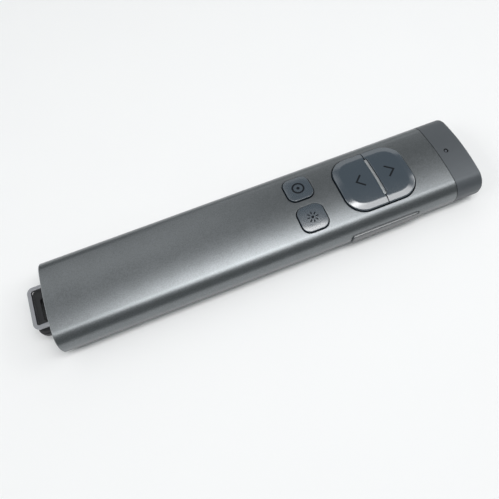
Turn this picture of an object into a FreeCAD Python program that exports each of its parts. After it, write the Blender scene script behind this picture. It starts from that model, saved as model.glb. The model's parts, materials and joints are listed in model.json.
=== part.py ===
"""Wireless presentation clicker: an extruded sleeve, its caps, keys, laser and receiver.

Millimetres. The origin is the middle of the flat underside, +X points to the laser end,
+Z up, and the rocker key is in the -Y wall.
"""
import FreeCAD, Part

import math
import os

# Body section and length
BODY_LENGTH = 150.0
BODY_WIDTH = 31.4
BODY_HEIGHT = 13.0
CROWN_RADIUS = 63.0
SHOULDER_RADIUS = 5.6
SIDE_FLAT = 1.0
SLEEVE_WALL = 1.2
TAIL_CHAMFER = 0.25

# Head cap
CAP_LENGTH = 10.0
CAP_WALL = 1.1
CAP_END_WALL = 1.6
CAP_EDGE_RADIUS = 0.7
SEAM_GAP = 0.08
SPIGOT_LENGTH = 7.5
SPIGOT_FIT = 0.08
PINHOLE_FROM_SEAM = 3.25
PINHOLE_RADIUS = 0.8

# Laser
LASER_RADIUS = 2.6
LASER_WALL = 0.5
LASER_LENGTH = 13.0
LASER_PIPE_GAP = 0.2
LASER_SET_BACK = 1.7
LASER_BOSS_WALL = 1.1
LASER_BOSS_LENGTH = 4.0
LENS_THICKNESS = 1.6
LENS_SET_BACK = 1.2
WINDOW_RADIUS = 2.9
WINDOW_THICKNESS = 0.8
WINDOW_RECESS = 0.1
APERTURE_RADIUS = 1.6
DIODE_RADIUS = 1.65
DIODE_FLANGE_RADIUS = 2.0
DIODE_LENGTH = 2.4
DIODE_FLANGE_LENGTH = 0.5
DIODE_SET_IN = 1.0
LASER_BOARD_THICKNESS = 0.8
LASER_BOARD_SIDE = 3.6

# Status light
LIGHT_PIPE_RADIUS = 0.75
LIGHT_PIPE_SINK = 0.3
LIGHT_PIPE_DROP = 0.2
LIGHT_PIPE_BAR = 1.1
LED_LENGTH = 1.6
LED_WIDTH = 0.8
LED_HEIGHT = 0.7
LED_GAP = 0.15

# Large key pair
PAIR_FROM_SEAM = 25.0
PAIR_LENGTH = 26.2
PAIR_WIDTH = 21.9
PAIR_CORNER = 7.0
PAIR_RISE = 0.95
PAIR_SLOPE_DROP = 0.36
PAIR_SLOPE_INSET = 2.2
PAIR_SLOPE_RADIUS = 8.0
PAIR_RIM_RADIUS = 0.4
PAIR_SPLIT_OFFSET = 0.45
PAIR_SPLIT_GAP = 0.3
PAIR_PLUNGER_OFFSET = 6.6
SPLIT_EDGE_CHAMFER = 0.15

# Small keys
SMALL_FROM_SEAM = 50.4
SMALL_SPACING = 12.0
SMALL_SIZE = 9.8
SMALL_CORNER = 3.0
SMALL_RISE = 0.55
SMALL_SLOPE_DROP = 0.2
SMALL_SLOPE_INSET = 1.2
SMALL_SLOPE_RADIUS = 4.0
SMALL_RIM_RADIUS = 0.25

# Key fits
KEY_GAP = 0.3
KEY_FLANGE = 0.75
KEY_FLANGE_THICKNESS = 0.8
KEY_FLANGE_GAP = 0.3
KEY_TRAVEL = 0.4
KEY_BOTTOM_GAP = 0.2
PEG_RADIUS = 0.6
PEG_LENGTH = 2.0
PEG_FIT = 0.08
PEG_INSET = 1.6
PAIR_PEG_INSET = 3.8
PLUNGER_RADIUS = 1.1

# Divider bar between the halves of the large key
BAR_LENGTH = 15.06
BAR_WIDTH = 1.0
BAR_OFFSET = 0.6
BAR_RISE = 0.75
BAR_GAP = 0.15
BAR_EDGE_RADIUS = 0.2

# Key frame
FRAME_THICKNESS = 0.9
FRAME_SIDE_INSET = 3.9
FRAME_MARGIN = 4.0
FRAME_CORNER = 2.0
FRAME_POST_RADIUS = 0.9
FRAME_POST_INSET = 4.5
FRAME_POST_MARGIN = 2.2
SWITCH_WINDOW_GAP = 0.3

# Tact switches under the keys
SWITCH_SIZE = 4.5
SWITCH_HEIGHT = 1.5
SWITCH_CORNER = 0.4
STEM_RADIUS = 1.0
STEM_FIT = 0.05
STEM_PROUD = 0.5
STEM_LENGTH = 1.2
SWITCH_FLOOR = 0.2

# Main board
BOARD_THICKNESS = 1.0
BOARD_SIDE_INSET = 5.9
BOARD_TAIL_FROM_SEAM = 72.0
BOARD_HEAD_FROM_SEAM = 5.5
BOARD_ARM_GAP = 0.9
BOARD_ARM_REACH = 7.0
BOARD_CORNER = 1.0
BOARD_SCREW_INSET = 3.6
SCREW_RADIUS = 0.7
SCREW_HEAD_RADIUS = 1.35
SCREW_HEAD_HEIGHT = 0.7
SCREW_LENGTH = 3.2
SCREW_FIT = 0.05
SCREW_SLOT_WIDTH = 0.4
SCREW_SLOT_DEPTH = 0.35

# Board parts
SHIELD_LENGTH = 11.0
SHIELD_WIDTH = 9.0
SHIELD_HEIGHT = 1.1
SHIELD_CORNER = 0.8
SHIELD_SHEET = 0.2
SHIELD_FROM_SEAM = 60.5
CRYSTAL_GAP = 0.7
CRYSTAL_LENGTH = 3.2
CRYSTAL_WIDTH = 2.5
CRYSTAL_HEIGHT = 0.8
ANTENNA_LENGTH = 7.0
ANTENNA_WIDTH = 2.2
ANTENNA_HEIGHT = 1.1
SOCKET_LENGTH = 3.6
SOCKET_WIDTH = 5.0
SOCKET_HEIGHT = 1.6

# Rocker key in the side wall
ROCKER_FROM_SEAM = 27.1
ROCKER_LENGTH = 25.2
ROCKER_HEIGHT = 3.9
ROCKER_MID_HEIGHT = 5.95
ROCKER_CORNER = 1.0
ROCKER_PROUD = 0.6
ROCKER_EDGE_RADIUS = 0.45
ROCKER_GAP = 0.25
ROCKER_FLANGE = 0.6
ROCKER_FLANGE_GAP = 0.5
ROCKER_DEPTH = 3.2
ROCKER_LUG_RADIUS = 1.3
ROCKER_PIN_RADIUS = 0.5
ROCKER_PIN_FIT = 0.05
ROCKER_PIN_INSET = 5.0
ROCKER_PIN_SEAT = 0.7
ROCKER_LUG_GAP = 0.3

# Side switches behind the rocker
SIDE_SWITCH_OFFSET = 8.4
SIDE_SWITCH_LENGTH = 4.4
SIDE_SWITCH_DEPTH = 2.8
SIDE_SWITCH_HEIGHT = 2.8
SIDE_STEM_LENGTH = 1.4
SIDE_STEM_HEIGHT = 1.2
SIDE_STEM_PROUD = 0.5
SIDE_STEM_GAP = 0.27

# Power slider in the far side wall
SLIDER_CLEARANCE = 0.5
SLIDER_LENGTH = 4.6
SLIDER_HEIGHT = 2.0
SLIDER_PROUD = 0.5
SLIDER_TRAVEL = 2.5
SLIDER_GAP = 0.2
SLIDER_FLANGE = 0.8
SLIDER_FLANGE_THICKNESS = 0.8
SLIDER_GROOVES = 3
SLIDER_GROOVE_WIDTH = 0.35
SLIDER_GROOVE_PITCH = 0.85
SLIDER_GROOVE_DEPTH = 0.2
SLIDER_LEVER_LENGTH = 1.4
SLIDER_LEVER_HEIGHT = 1.2
SLIDER_CASE_LENGTH = 9.0
SLIDER_CASE_DEPTH = 3.2
SLIDER_CASE_HEIGHT = 2.8
SLIDER_CASE_WALL = 0.6
SLIDER_CASE_GAP = 0.35

# Charge port in the far side wall
PORT_FROM_SEAM = 67.0
PORT_WIDTH = 8.94
PORT_HEIGHT = 3.26
PORT_DEPTH = 7.2
PORT_SHEET = 0.3
PORT_GAP = 0.1
PORT_SINK = 0.25
TONGUE_WIDTH = 6.6
TONGUE_HEIGHT = 0.7
TONGUE_LENGTH = 4.6
TONGUE_ROOT = 1.2

# Battery
BATTERY_SIDE_GAP = 0.2
BATTERY_HEIGHT = 5.2
BATTERY_END_GAP = 1.2
BATTERY_CORNER = 1.4
PAD_LENGTH_SHARE = 0.8
PAD_WIDTH_SHARE = 0.75
PAD_THICKNESS = 0.9
STRIP_LENGTH = 3.0
STRIP_WIDTH = 15.0
STRIP_HEIGHT = 1.2
STRIP_SEAT = 3.4

# Chassis
CHASSIS_FIT = 0.12
CHASSIS_WALL = 1.0
CHASSIS_RIM = 3.0
CHASSIS_END_GAP = 0.3
CHASSIS_RIB = 0.9
CHASSIS_RIB_HEIGHT = 2.4
BOSS_RADIUS = 1.6

# Tail cap, loop and receiver
TAIL_CAP_LENGTH = 23.0
TAIL_SINK = 0.7
TAIL_FIT = 0.08
TAIL_WEB = 0.9
LOOP_DEPTH = 3.7
LOOP_WIDTH = 14.7
LOOP_REACH = 5.7
LOOP_STRIP = 1.3
LOOP_THICKNESS = 1.1
LOOP_CORNER = 2.0
LOOP_ROOT = 8.0
LOOP_FIT = 0.05
LOOP_PIN_RADIUS = 0.45
LOOP_PIN_SET_IN = 5.5
LOOP_PIN_OVERHANG = 1.0
RECEIVER_GAP = 0.2
RECEIVER_WIDTH = 14.4
RECEIVER_LENGTH = 6.6
RECEIVER_CORNER = 1.0
PLUG_WIDTH = 12.0
PLUG_HEIGHT = 4.5
PLUG_CORNER = 0.4
PLUG_LENGTH = 12.0
PLUG_SHEET = 0.32
PLUG_SEAT = 0.8
PLUG_TONGUE_HEIGHT = 1.9
PLUG_TONGUE_SINK = 0.6
PLUG_WINDOW = 2.2
PLUG_WINDOW_OFFSET = 2.9
PLUG_WINDOW_FROM_SEAT = 5.2
GRIP_REACH = 5.8
GRIP_WIDTH = 17.0
GRIP_THICKNESS = 3.0
GRIP_CORNER = 3.0
GRIP_EDGE_RADIUS = 0.8
GRIP_BAR = 2.5
GRIP_SLOT_LENGTH = 2.4
GRIP_SLOT_WIDTH = 8.2
GRIP_SLOT_CORNER = 0.9
GRIP_ROOT_WIDTH = 11.0
GRIP_ROOT_HEIGHT = 2.0
GRIP_SEAT = 0.5

# How far cutting shapes run past, and how near an edge lies to the plane it is picked by
EDGE_REACH = 0.005
OVERRUN = 1.0
ROUND_END_SHARE = 0.98

EAST = FreeCAD.Vector(1, 0, 0)
NORTH = FreeCAD.Vector(0, 1, 0)
UP = FreeCAD.Vector(0, 0, 1)


def half(length):
    return length / 2


TAIL_X = -half(BODY_LENGTH)
HEAD_X = half(BODY_LENGTH)
SEAM_X = HEAD_X - CAP_LENGTH
HALF_WIDTH = half(BODY_WIDTH)
CROWN_CENTRE_Z = BODY_HEIGHT - CROWN_RADIUS
SHOULDER_Y = HALF_WIDTH - SHOULDER_RADIUS
SHOULDER_Z = CROWN_CENTRE_Z + math.sqrt((CROWN_RADIUS - SHOULDER_RADIUS) ** 2 - SHOULDER_Y ** 2)
LOWER_RADIUS = SHOULDER_Z - SIDE_FLAT


def crown_height(y, inset):
    """Height of the crown, or of a surface set in from it, at a distance from the middle."""
    return CROWN_CENTRE_Z + math.sqrt((CROWN_RADIUS - inset) ** 2 - y ** 2)


# Heights of the stack under the keys, worked down from the crown
PAIR_X = SEAM_X - PAIR_FROM_SEAM
SMALL_X = SEAM_X - SMALL_FROM_SEAM
SPLIT_X = PAIR_X + PAIR_SPLIT_OFFSET
FLANGE_TOP = crown_height(half(PAIR_WIDTH) + KEY_FLANGE, SLEEVE_WALL) - KEY_FLANGE_GAP
FLANGE_BOTTOM = FLANGE_TOP - KEY_FLANGE_THICKNESS
FRAME_TOP = FLANGE_BOTTOM - KEY_TRAVEL - KEY_BOTTOM_GAP
FRAME_BOTTOM = FRAME_TOP - FRAME_THICKNESS
STEM_TOP = FRAME_TOP - KEY_BOTTOM_GAP
SWITCH_TOP = STEM_TOP - STEM_PROUD
BOARD_TOP = SWITCH_TOP - SWITCH_HEIGHT
BOARD_BOTTOM = BOARD_TOP - BOARD_THICKNESS
BOARD_MID_Z = half(BOARD_TOP + BOARD_BOTTOM)

# Places along the body
BOARD_TAIL_X = SEAM_X - BOARD_TAIL_FROM_SEAM
BOARD_HEAD_X = SEAM_X - BOARD_HEAD_FROM_SEAM
BOARD_HALF_WIDTH = HALF_WIDTH - BOARD_SIDE_INSET
ARM_INNER_Y = LASER_RADIUS + LASER_BOSS_WALL + BOARD_ARM_GAP
ARM_MID_Y = half(BOARD_HALF_WIDTH + ARM_INNER_Y)
TAIL_CAP_FACE_X = TAIL_X + TAIL_SINK
TAIL_CAP_END_X = TAIL_X + TAIL_CAP_LENGTH
CHASSIS_TAIL_X = TAIL_CAP_END_X + CHASSIS_END_GAP
CHASSIS_HEAD_X = SEAM_X - SPIGOT_LENGTH - CHASSIS_END_GAP
CHASSIS_FLOOR = SLEEVE_WALL + CHASSIS_FIT + CHASSIS_WALL
BATTERY_HALF_WIDTH = HALF_WIDTH - LOWER_RADIUS - BATTERY_SIDE_GAP
PINHOLE_X = SEAM_X + PINHOLE_FROM_SEAM
ROCKER_X = SEAM_X - ROCKER_FROM_SEAM
ROCKER_PIN_Y = -HALF_WIDTH + ROCKER_PIN_INSET
ROCKER_INNER_Y = -HALF_WIDTH + ROCKER_DEPTH
SLIDER_CASE_X = SMALL_X + half(SWITCH_SIZE) + SLIDER_CLEARANCE + half(SLIDER_CASE_LENGTH)
SLIDER_X = SLIDER_CASE_X - half(SLIDER_TRAVEL)
PORT_X = SEAM_X - PORT_FROM_SEAM
LOOP_Z = BODY_HEIGHT - LOOP_DEPTH
FRAME_HALF_WIDTH = HALF_WIDTH - FRAME_SIDE_INSET
FRAME_TAIL_X = SMALL_X - half(SMALL_SIZE) - FRAME_MARGIN
FRAME_HEAD_X = min(PAIR_X + half(PAIR_LENGTH) + FRAME_MARGIN, CHASSIS_HEAD_X)
LASER_FRONT_X = HEAD_X - LASER_SET_BACK
LASER_BACK_X = LASER_FRONT_X - LASER_LENGTH
PIPE_TOP = BODY_HEIGHT - SLEEVE_WALL - SPIGOT_FIT - CAP_WALL - LIGHT_PIPE_DROP
LASER_HEIGHT = PIPE_TOP - LIGHT_PIPE_BAR - LASER_PIPE_GAP - LASER_RADIUS

# Slope round each kind of key: its drop and width, the round where it meets the crown, and the rim's round
PAIR_EDGE = (PAIR_SLOPE_DROP, PAIR_SLOPE_INSET, PAIR_SLOPE_RADIUS, PAIR_RIM_RADIUS)
SMALL_EDGE = (SMALL_SLOPE_DROP, SMALL_SLOPE_INSET, SMALL_SLOPE_RADIUS, SMALL_RIM_RADIUS)

KEYS = ("previous", "next", "spotlight", "laser")
KEY_X = {
    "previous": PAIR_X - PAIR_PLUNGER_OFFSET,
    "next": PAIR_X + PAIR_PLUNGER_OFFSET,
    "spotlight": SMALL_X,
    "laser": SMALL_X,
}
KEY_Y = {"previous": 0, "next": 0, "spotlight": half(SMALL_SPACING), "laser": -half(SMALL_SPACING)}


def at(x, y, z):
    return FreeCAD.Vector(x, y, z)


def box(low_x, high_x, low_y, high_y, low_z, high_z):
    """Block between two corners."""
    return Part.makeBox(high_x - low_x, high_y - low_y, high_z - low_z, at(low_x, low_y, low_z))


def block(mid, size):
    """Block about its middle point."""
    corner = at(mid.x - half(size.x), mid.y - half(size.y), mid.z - half(size.z))
    return Part.makeBox(size.x, size.y, size.z, corner)


def rod(radius, start, end):
    """Round bar between two points."""
    axis = end - start
    return Part.makeCylinder(radius, axis.Length, start, axis)


def joined(first, *others):
    """One clean solid from pieces that touch."""
    return first.fuse(list(others)).removeSplitter()


def round_wire(mid, along, across, length, width, corner):
    """Rounded rectangle about a point, in the plane of two directions."""
    radius = min(corner, half(length) * ROUND_END_SHARE, half(width) * ROUND_END_SHARE)
    reach_a = half(length) - radius
    reach_b = half(width) - radius
    diagonal = radius * math.sqrt(half(1))
    corners = ((1, 1, True), (-1, 1, False), (-1, -1, True), (1, -1, False))
    edges = []
    first = last = None
    for side_a, side_b, along_first in corners:
        centre = mid + along * (side_a * reach_a) + across * (side_b * reach_b)
        on_along = centre + along * (side_a * radius)
        on_across = centre + across * (side_b * radius)
        middle = centre + along * (side_a * diagonal) + across * (side_b * diagonal)
        start, end = (on_along, on_across) if along_first else (on_across, on_along)
        if last is not None:
            edges.append(Part.LineSegment(last, start).toShape())
        edges.append(Part.Arc(start, middle, end).toShape())
        first = first or start
        last = end
    edges.append(Part.LineSegment(last, first).toShape())
    return Part.Wire(edges)


def plate(mid_x, mid_y, length, width, corner, low_z, high_z):
    """Upright prism of a rounded rectangle, seen from above."""
    outline = round_wire(at(mid_x, mid_y, low_z), EAST, NORTH, length, width, corner)
    return Part.Face(outline).extrude(UP * (high_z - low_z))


def side_plate(mid_x, mid_z, length, height, corner, low_y, high_y):
    """Prism of a rounded rectangle in the side wall, run across the body."""
    outline = round_wire(at(mid_x, low_y, mid_z), EAST, UP, length, height, corner)
    return Part.Face(outline).extrude(NORTH * (high_y - low_y))


def end_plate(mid_y, mid_z, width, height, corner, low_x, high_x):
    """Prism of a rounded rectangle in the end face, run along the body."""
    outline = round_wire(at(low_x, mid_y, mid_z), NORTH, UP, width, height, corner)
    return Part.Face(outline).extrude(EAST * (high_x - low_x))


def section_wire(x, inset):
    """Oval body section at x, set in from the outer surface all round."""
    shoulder = SHOULDER_RADIUS - inset
    lower = LOWER_RADIUS - inset
    lower_y = HALF_WIDTH - LOWER_RADIUS
    turn = math.atan2(SHOULDER_Z - CROWN_CENTRE_Z, SHOULDER_Y)
    quarter = half(math.pi)

    def shoulder_point(side, angle):
        y = side * (SHOULDER_Y + shoulder * math.cos(angle))
        return at(x, y, SHOULDER_Z + shoulder * math.sin(angle))

    def lower_point(side, angle):
        y = side * (lower_y + lower * math.cos(angle))
        return at(x, y, LOWER_RADIUS - lower * math.sin(angle))

    def arc(point, side, start, end):
        return Part.Arc(point(side, start), point(side, half(start + end)), point(side, end)).toShape()

    def line(start, end):
        return Part.LineSegment(start, end).toShape()

    top = at(x, 0, BODY_HEIGHT - inset)
    return Part.Wire([
        Part.Arc(shoulder_point(1, turn), top, shoulder_point(-1, turn)).toShape(),
        arc(shoulder_point, -1, turn, 0),
        line(shoulder_point(-1, 0), lower_point(-1, 0)),
        arc(lower_point, -1, 0, quarter),
        line(lower_point(-1, quarter), lower_point(1, quarter)),
        arc(lower_point, 1, quarter, 0),
        line(lower_point(1, 0), shoulder_point(1, 0)),
        arc(shoulder_point, 1, 0, turn),
    ])


def body_prism(low_x, high_x, inset):
    """Length of the body section."""
    return Part.Face(section_wire(low_x, inset)).extrude(EAST * (high_x - low_x))


def end_edges(solid, x):
    """Edges that lie in the upright plane at x."""
    low, high = x - EDGE_REACH, x + EDGE_REACH
    return [edge for edge in solid.Edges if low < edge.BoundBox.XMin and edge.BoundBox.XMax < high]


def crown_window(mid_x, mid_y, length, width, corner):
    """Opening down through the crown."""
    return plate(mid_x, mid_y, length, width, corner, SHOULDER_Z, BODY_HEIGHT + OVERRUN)


def side_window(side, mid_x, mid_z, length, height, corner, gap):
    """Opening through a side wall, wider all round than its piece by a gap."""
    inner, outer = side * (HALF_WIDTH - ROCKER_DEPTH), side * (HALF_WIDTH + OVERRUN)
    length, height = length + gap + gap, height + gap + gap
    return side_plate(mid_x, mid_z, length, height, corner + gap, min(inner, outer), max(inner, outer))


def sleeve():
    """Extruded tube with windows for the keys, rocker, slider and charge port."""
    tube = body_prism(TAIL_X, SEAM_X, 0)
    tube = tube.makeChamfer(TAIL_CHAMFER, end_edges(tube, TAIL_X))
    tube = tube.cut(body_prism(TAIL_X - OVERRUN, SEAM_X + OVERRUN, SLEEVE_WALL))
    slot = SLIDER_LENGTH + SLIDER_TRAVEL
    windows = [
        crown_window(PAIR_X, 0, PAIR_LENGTH, PAIR_WIDTH, PAIR_CORNER),
        crown_window(SMALL_X, KEY_Y["spotlight"], SMALL_SIZE, SMALL_SIZE, SMALL_CORNER),
        crown_window(SMALL_X, KEY_Y["laser"], SMALL_SIZE, SMALL_SIZE, SMALL_CORNER),
        side_window(-1, ROCKER_X, ROCKER_MID_HEIGHT, ROCKER_LENGTH, ROCKER_HEIGHT, ROCKER_CORNER,
                    ROCKER_GAP),
        side_window(1, SLIDER_CASE_X, BOARD_MID_Z, slot, SLIDER_HEIGHT, SLIDER_HEIGHT, SLIDER_GAP),
        side_window(1, PORT_X, BOARD_MID_Z, PORT_WIDTH, PORT_HEIGHT, PORT_HEIGHT, PORT_GAP),
    ]
    for window in windows:
        tube = tube.cut(window)
    return tube


def on_laser(x):
    """Point on the laser's axis."""
    return at(x, 0, LASER_HEIGHT)


def head_cap():
    """Moulded end cap with a spigot, a boss and a bore for the laser, and a hole for the status light."""
    outer = body_prism(SEAM_X + SEAM_GAP, HEAD_X, 0)
    outer = outer.makeFillet(CAP_EDGE_RADIUS, end_edges(outer, HEAD_X))
    spigot_inset = SLEEVE_WALL + SPIGOT_FIT
    spigot_x = SEAM_X - SPIGOT_LENGTH
    spigot = body_prism(spigot_x, SEAM_X + OVERRUN, spigot_inset)
    hollow = body_prism(spigot_x - OVERRUN, HEAD_X - CAP_END_WALL, spigot_inset + CAP_WALL)
    cap = joined(outer, spigot).cut(hollow)
    back = HEAD_X - CAP_END_WALL - LASER_BOSS_LENGTH
    boss = rod(LASER_RADIUS + LASER_BOSS_WALL, on_laser(back), on_laser(HEAD_X - half(CAP_END_WALL)))
    cap = joined(cap, boss)
    seat_x = HEAD_X - WINDOW_RECESS - WINDOW_THICKNESS
    pinhole_low = at(PINHOLE_X, 0, SHOULDER_Z + LASER_RADIUS)
    holes = [
        rod(LASER_RADIUS + SPIGOT_FIT, on_laser(spigot_x - OVERRUN), on_laser(LASER_FRONT_X)),
        rod(APERTURE_RADIUS, on_laser(back), on_laser(HEAD_X + OVERRUN)),
        rod(WINDOW_RADIUS + SPIGOT_FIT, on_laser(seat_x), on_laser(HEAD_X + OVERRUN)),
        rod(PINHOLE_RADIUS, pinhole_low, at(PINHOLE_X, 0, BODY_HEIGHT + OVERRUN)),
    ]
    for hole in holes:
        cap = cap.cut(hole)
    return cap


def laser_window():
    front = HEAD_X - WINDOW_RECESS
    return rod(WINDOW_RADIUS, on_laser(front - WINDOW_THICKNESS), on_laser(front))


def laser_barrel():
    """Brass tube that carries the lens in front and the diode behind."""
    start = on_laser(LASER_BACK_X)
    end = on_laser(LASER_FRONT_X)
    over = at(OVERRUN, 0, 0)
    tube = rod(LASER_RADIUS, start, end).cut(rod(APERTURE_RADIUS, start - over, end + over))
    lens_back = on_laser(LASER_FRONT_X - LENS_SET_BACK - LENS_THICKNESS)
    front_bore = rod(LASER_RADIUS - LASER_WALL, lens_back, end + over)
    diode_front = on_laser(LASER_BACK_X + DIODE_SET_IN)
    back_bore = rod(DIODE_FLANGE_RADIUS + SPIGOT_FIT, start - over, diode_front)
    chamber_end = on_laser(LASER_BACK_X + DIODE_SET_IN + DIODE_LENGTH + OVERRUN)
    chamber = rod(DIODE_RADIUS + SPIGOT_FIT, start, chamber_end)
    return tube.cut(front_bore).cut(back_bore).cut(chamber)


def laser_lens():
    """Collimating lens with a domed front."""
    front = LASER_FRONT_X - LENS_SET_BACK
    radius = LASER_RADIUS - LASER_WALL - SPIGOT_FIT
    disc = rod(radius, on_laser(front - LENS_THICKNESS), on_laser(front))
    dome_radius = LASER_RADIUS + LENS_THICKNESS
    return disc.common(Part.makeSphere(dome_radius, on_laser(front - dome_radius)))


def laser_diode():
    """Diode can and its flange."""
    flange_front = LASER_BACK_X + DIODE_SET_IN
    flange_back = flange_front - DIODE_FLANGE_LENGTH
    flange = rod(DIODE_FLANGE_RADIUS, on_laser(flange_back), on_laser(flange_front))
    can = rod(DIODE_RADIUS, on_laser(flange_back), on_laser(flange_front + DIODE_LENGTH))
    return joined(flange, can)


def laser_board():
    """Small driver board square to the barrel, with the root of the diode's legs."""
    face = LASER_BACK_X + DIODE_SET_IN - DIODE_FLANGE_LENGTH
    back = LASER_BACK_X - LASER_BOARD_THICKNESS
    stub = rod(APERTURE_RADIUS, on_laser(back), on_laser(face))
    side = LASER_BOARD_SIDE
    board = end_plate(0, LASER_HEIGHT, side, side, SWITCH_CORNER, back, LASER_BACK_X)
    return joined(board, stub)


def status_light_pipe():
    """Clear guide from the light on the board to the pinhole."""
    led_x = BOARD_HEAD_X - LED_LENGTH
    bar_low = PIPE_TOP - LIGHT_PIPE_BAR
    radius = LIGHT_PIPE_RADIUS
    upright = rod(radius, at(PINHOLE_X, 0, bar_low), at(PINHOLE_X, 0, BODY_HEIGHT - LIGHT_PIPE_SINK))
    bar = box(led_x, PINHOLE_X, -radius, radius, bar_low, PIPE_TOP)
    foot_low = BOARD_TOP + LED_HEIGHT + LED_GAP
    foot = rod(radius, at(led_x, 0, foot_low), at(led_x, 0, PIPE_TOP))
    return joined(bar, upright, foot)


def status_led():
    mid = at(BOARD_HEAD_X - LED_LENGTH, 0, BOARD_TOP + half(LED_HEIGHT))
    return block(mid, at(LED_LENGTH, LED_WIDTH, LED_HEIGHT))


def crowned_key(mid_x, mid_y, length, width, corner, rise, edge):
    """Key cap whose top follows the crown of the body, with a wide soft slope round it."""
    drop, inset, softness, rim = edge
    cap = plate(mid_x, mid_y, length, width, corner, FLANGE_BOTTOM, BODY_HEIGHT + rise + OVERRUN)
    start = at(mid_x - length, 0, CROWN_CENTRE_Z)
    cap = cap.common(Part.makeCylinder(CROWN_RADIUS + rise, length + length, start, EAST)).removeSplitter()
    line = FLANGE_BOTTOM + half(KEY_FLANGE_THICKNESS)
    cap = cap.makeChamfer(drop, inset, edges_above(cap, line))
    walls = [face for face in cap.Faces if face.BoundBox.ZMin < line < face.BoundBox.ZMax]
    cap = cap.makeFillet(rim, [found for wall in walls for found in edges_above(wall, line)])
    crown = max((face for face in cap.Faces if face.BoundBox.ZMin > line), key=lambda face: face.Area)
    return cap.makeFillet(softness, crown.Edges)


def edges_above(shape, line):
    return [edge for edge in shape.Edges if edge.BoundBox.ZMin > line]


def key_flange(mid_x, mid_y, length, width, corner):
    """Rim under the sleeve that holds a key in its window."""
    grow = KEY_FLANGE + KEY_FLANGE
    return plate(mid_x, mid_y, length + grow, width + grow, corner + KEY_FLANGE, FLANGE_BOTTOM, FLANGE_TOP)


def key_post(x, y):
    """Plunger from the key down to its switch stem."""
    return rod(PLUNGER_RADIUS, at(x, y, STEM_TOP), at(x, y, FLANGE_TOP))


def key_pegs(places):
    """Guide pegs that run down through the key frame."""
    return [rod(PEG_RADIUS, at(x, y, FLANGE_BOTTOM - PEG_LENGTH), at(x, y, FLANGE_TOP)) for x, y in places]


def pair_peg_places(side):
    """Places of the pegs of the half on the tail side, -1, or on the head side, 1."""
    x = PAIR_X + side * (half(PAIR_LENGTH) - PAIR_CORNER + PEG_INSET)
    y = half(PAIR_WIDTH) - PAIR_PEG_INSET
    return [(x, -y), (x, y)]


def small_peg_places(key):
    """Pegs at two opposite corners of a small key."""
    reach = half(SMALL_SIZE) - PEG_INSET
    return [(SMALL_X - reach, KEY_Y[key] + reach), (SMALL_X + reach, KEY_Y[key] - reach)]


def bar_prism(gap, low_z, high_z):
    """Upright prism of the divider bar's outline, widened by a gap."""
    grow = gap + gap
    return plate(PAIR_X + BAR_OFFSET, 0, BAR_WIDTH + grow, BAR_LENGTH + grow, BAR_WIDTH, low_z, high_z)


def key_pair():
    """Both halves of the large key, before they are parted."""
    length = PAIR_LENGTH - KEY_GAP - KEY_GAP
    width = PAIR_WIDTH - KEY_GAP - KEY_GAP
    cap = crowned_key(PAIR_X, 0, length, width, PAIR_CORNER - KEY_GAP, PAIR_RISE, PAIR_EDGE)
    return joined(cap, key_flange(PAIR_X, 0, length, width, PAIR_CORNER))


def pair_half(side):
    """One half of the large key: tail side -1, head side 1."""
    edge = SPLIT_X + side * half(PAIR_SPLIT_GAP)
    far = SPLIT_X + side * PAIR_LENGTH
    top = BODY_HEIGHT + PAIR_RISE + OVERRUN
    low = FLANGE_BOTTOM - OVERRUN
    keep = box(min(edge, far), max(edge, far), -PAIR_WIDTH, PAIR_WIDTH, low, top)
    key = key_pair().common(keep)
    split_edges = [found for found in end_edges(key, edge) if found.BoundBox.ZMin > BODY_HEIGHT]
    key = key.makeChamfer(SPLIT_EDGE_CHAMFER, split_edges)
    key = key.cut(bar_prism(BAR_GAP, low, top))
    name = "previous" if side < 0 else "next"
    return joined(key, key_post(KEY_X[name], 0), *key_pegs(pair_peg_places(side)))


def small_key(name):
    """Spotlight or laser key."""
    size = SMALL_SIZE - KEY_GAP - KEY_GAP
    corner = SMALL_CORNER - KEY_GAP
    y = KEY_Y[name]
    cap = crowned_key(SMALL_X, y, size, size, corner, SMALL_RISE, SMALL_EDGE)
    rim = key_flange(SMALL_X, y, size, size, SMALL_CORNER)
    return joined(cap, rim, key_post(SMALL_X, y), *key_pegs(small_peg_places(name)))


def divider_bar():
    """Bright bar that stands on the key frame between the halves of the large key."""
    start = at(PAIR_X - half(PAIR_LENGTH), 0, CROWN_CENTRE_Z)
    crown = Part.makeCylinder(CROWN_RADIUS + BAR_RISE, PAIR_LENGTH, start, EAST)
    bar = bar_prism(0, FRAME_TOP, BODY_HEIGHT + PAIR_RISE + OVERRUN).common(crown)
    return bar.makeFillet(BAR_EDGE_RADIUS, edges_above(bar, half(BODY_HEIGHT + FRAME_TOP)))


def frame_post_places():
    """Feet of the key frame, clear of the rocker, the slider and the board."""
    y = HALF_WIDTH - FRAME_POST_INSET
    tail = FRAME_TAIL_X + FRAME_POST_MARGIN
    head = FRAME_HEAD_X - FRAME_POST_MARGIN
    return [(tail, -y), (tail, y), (head, -y), (head, y), (half(tail + head), y)]


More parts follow.
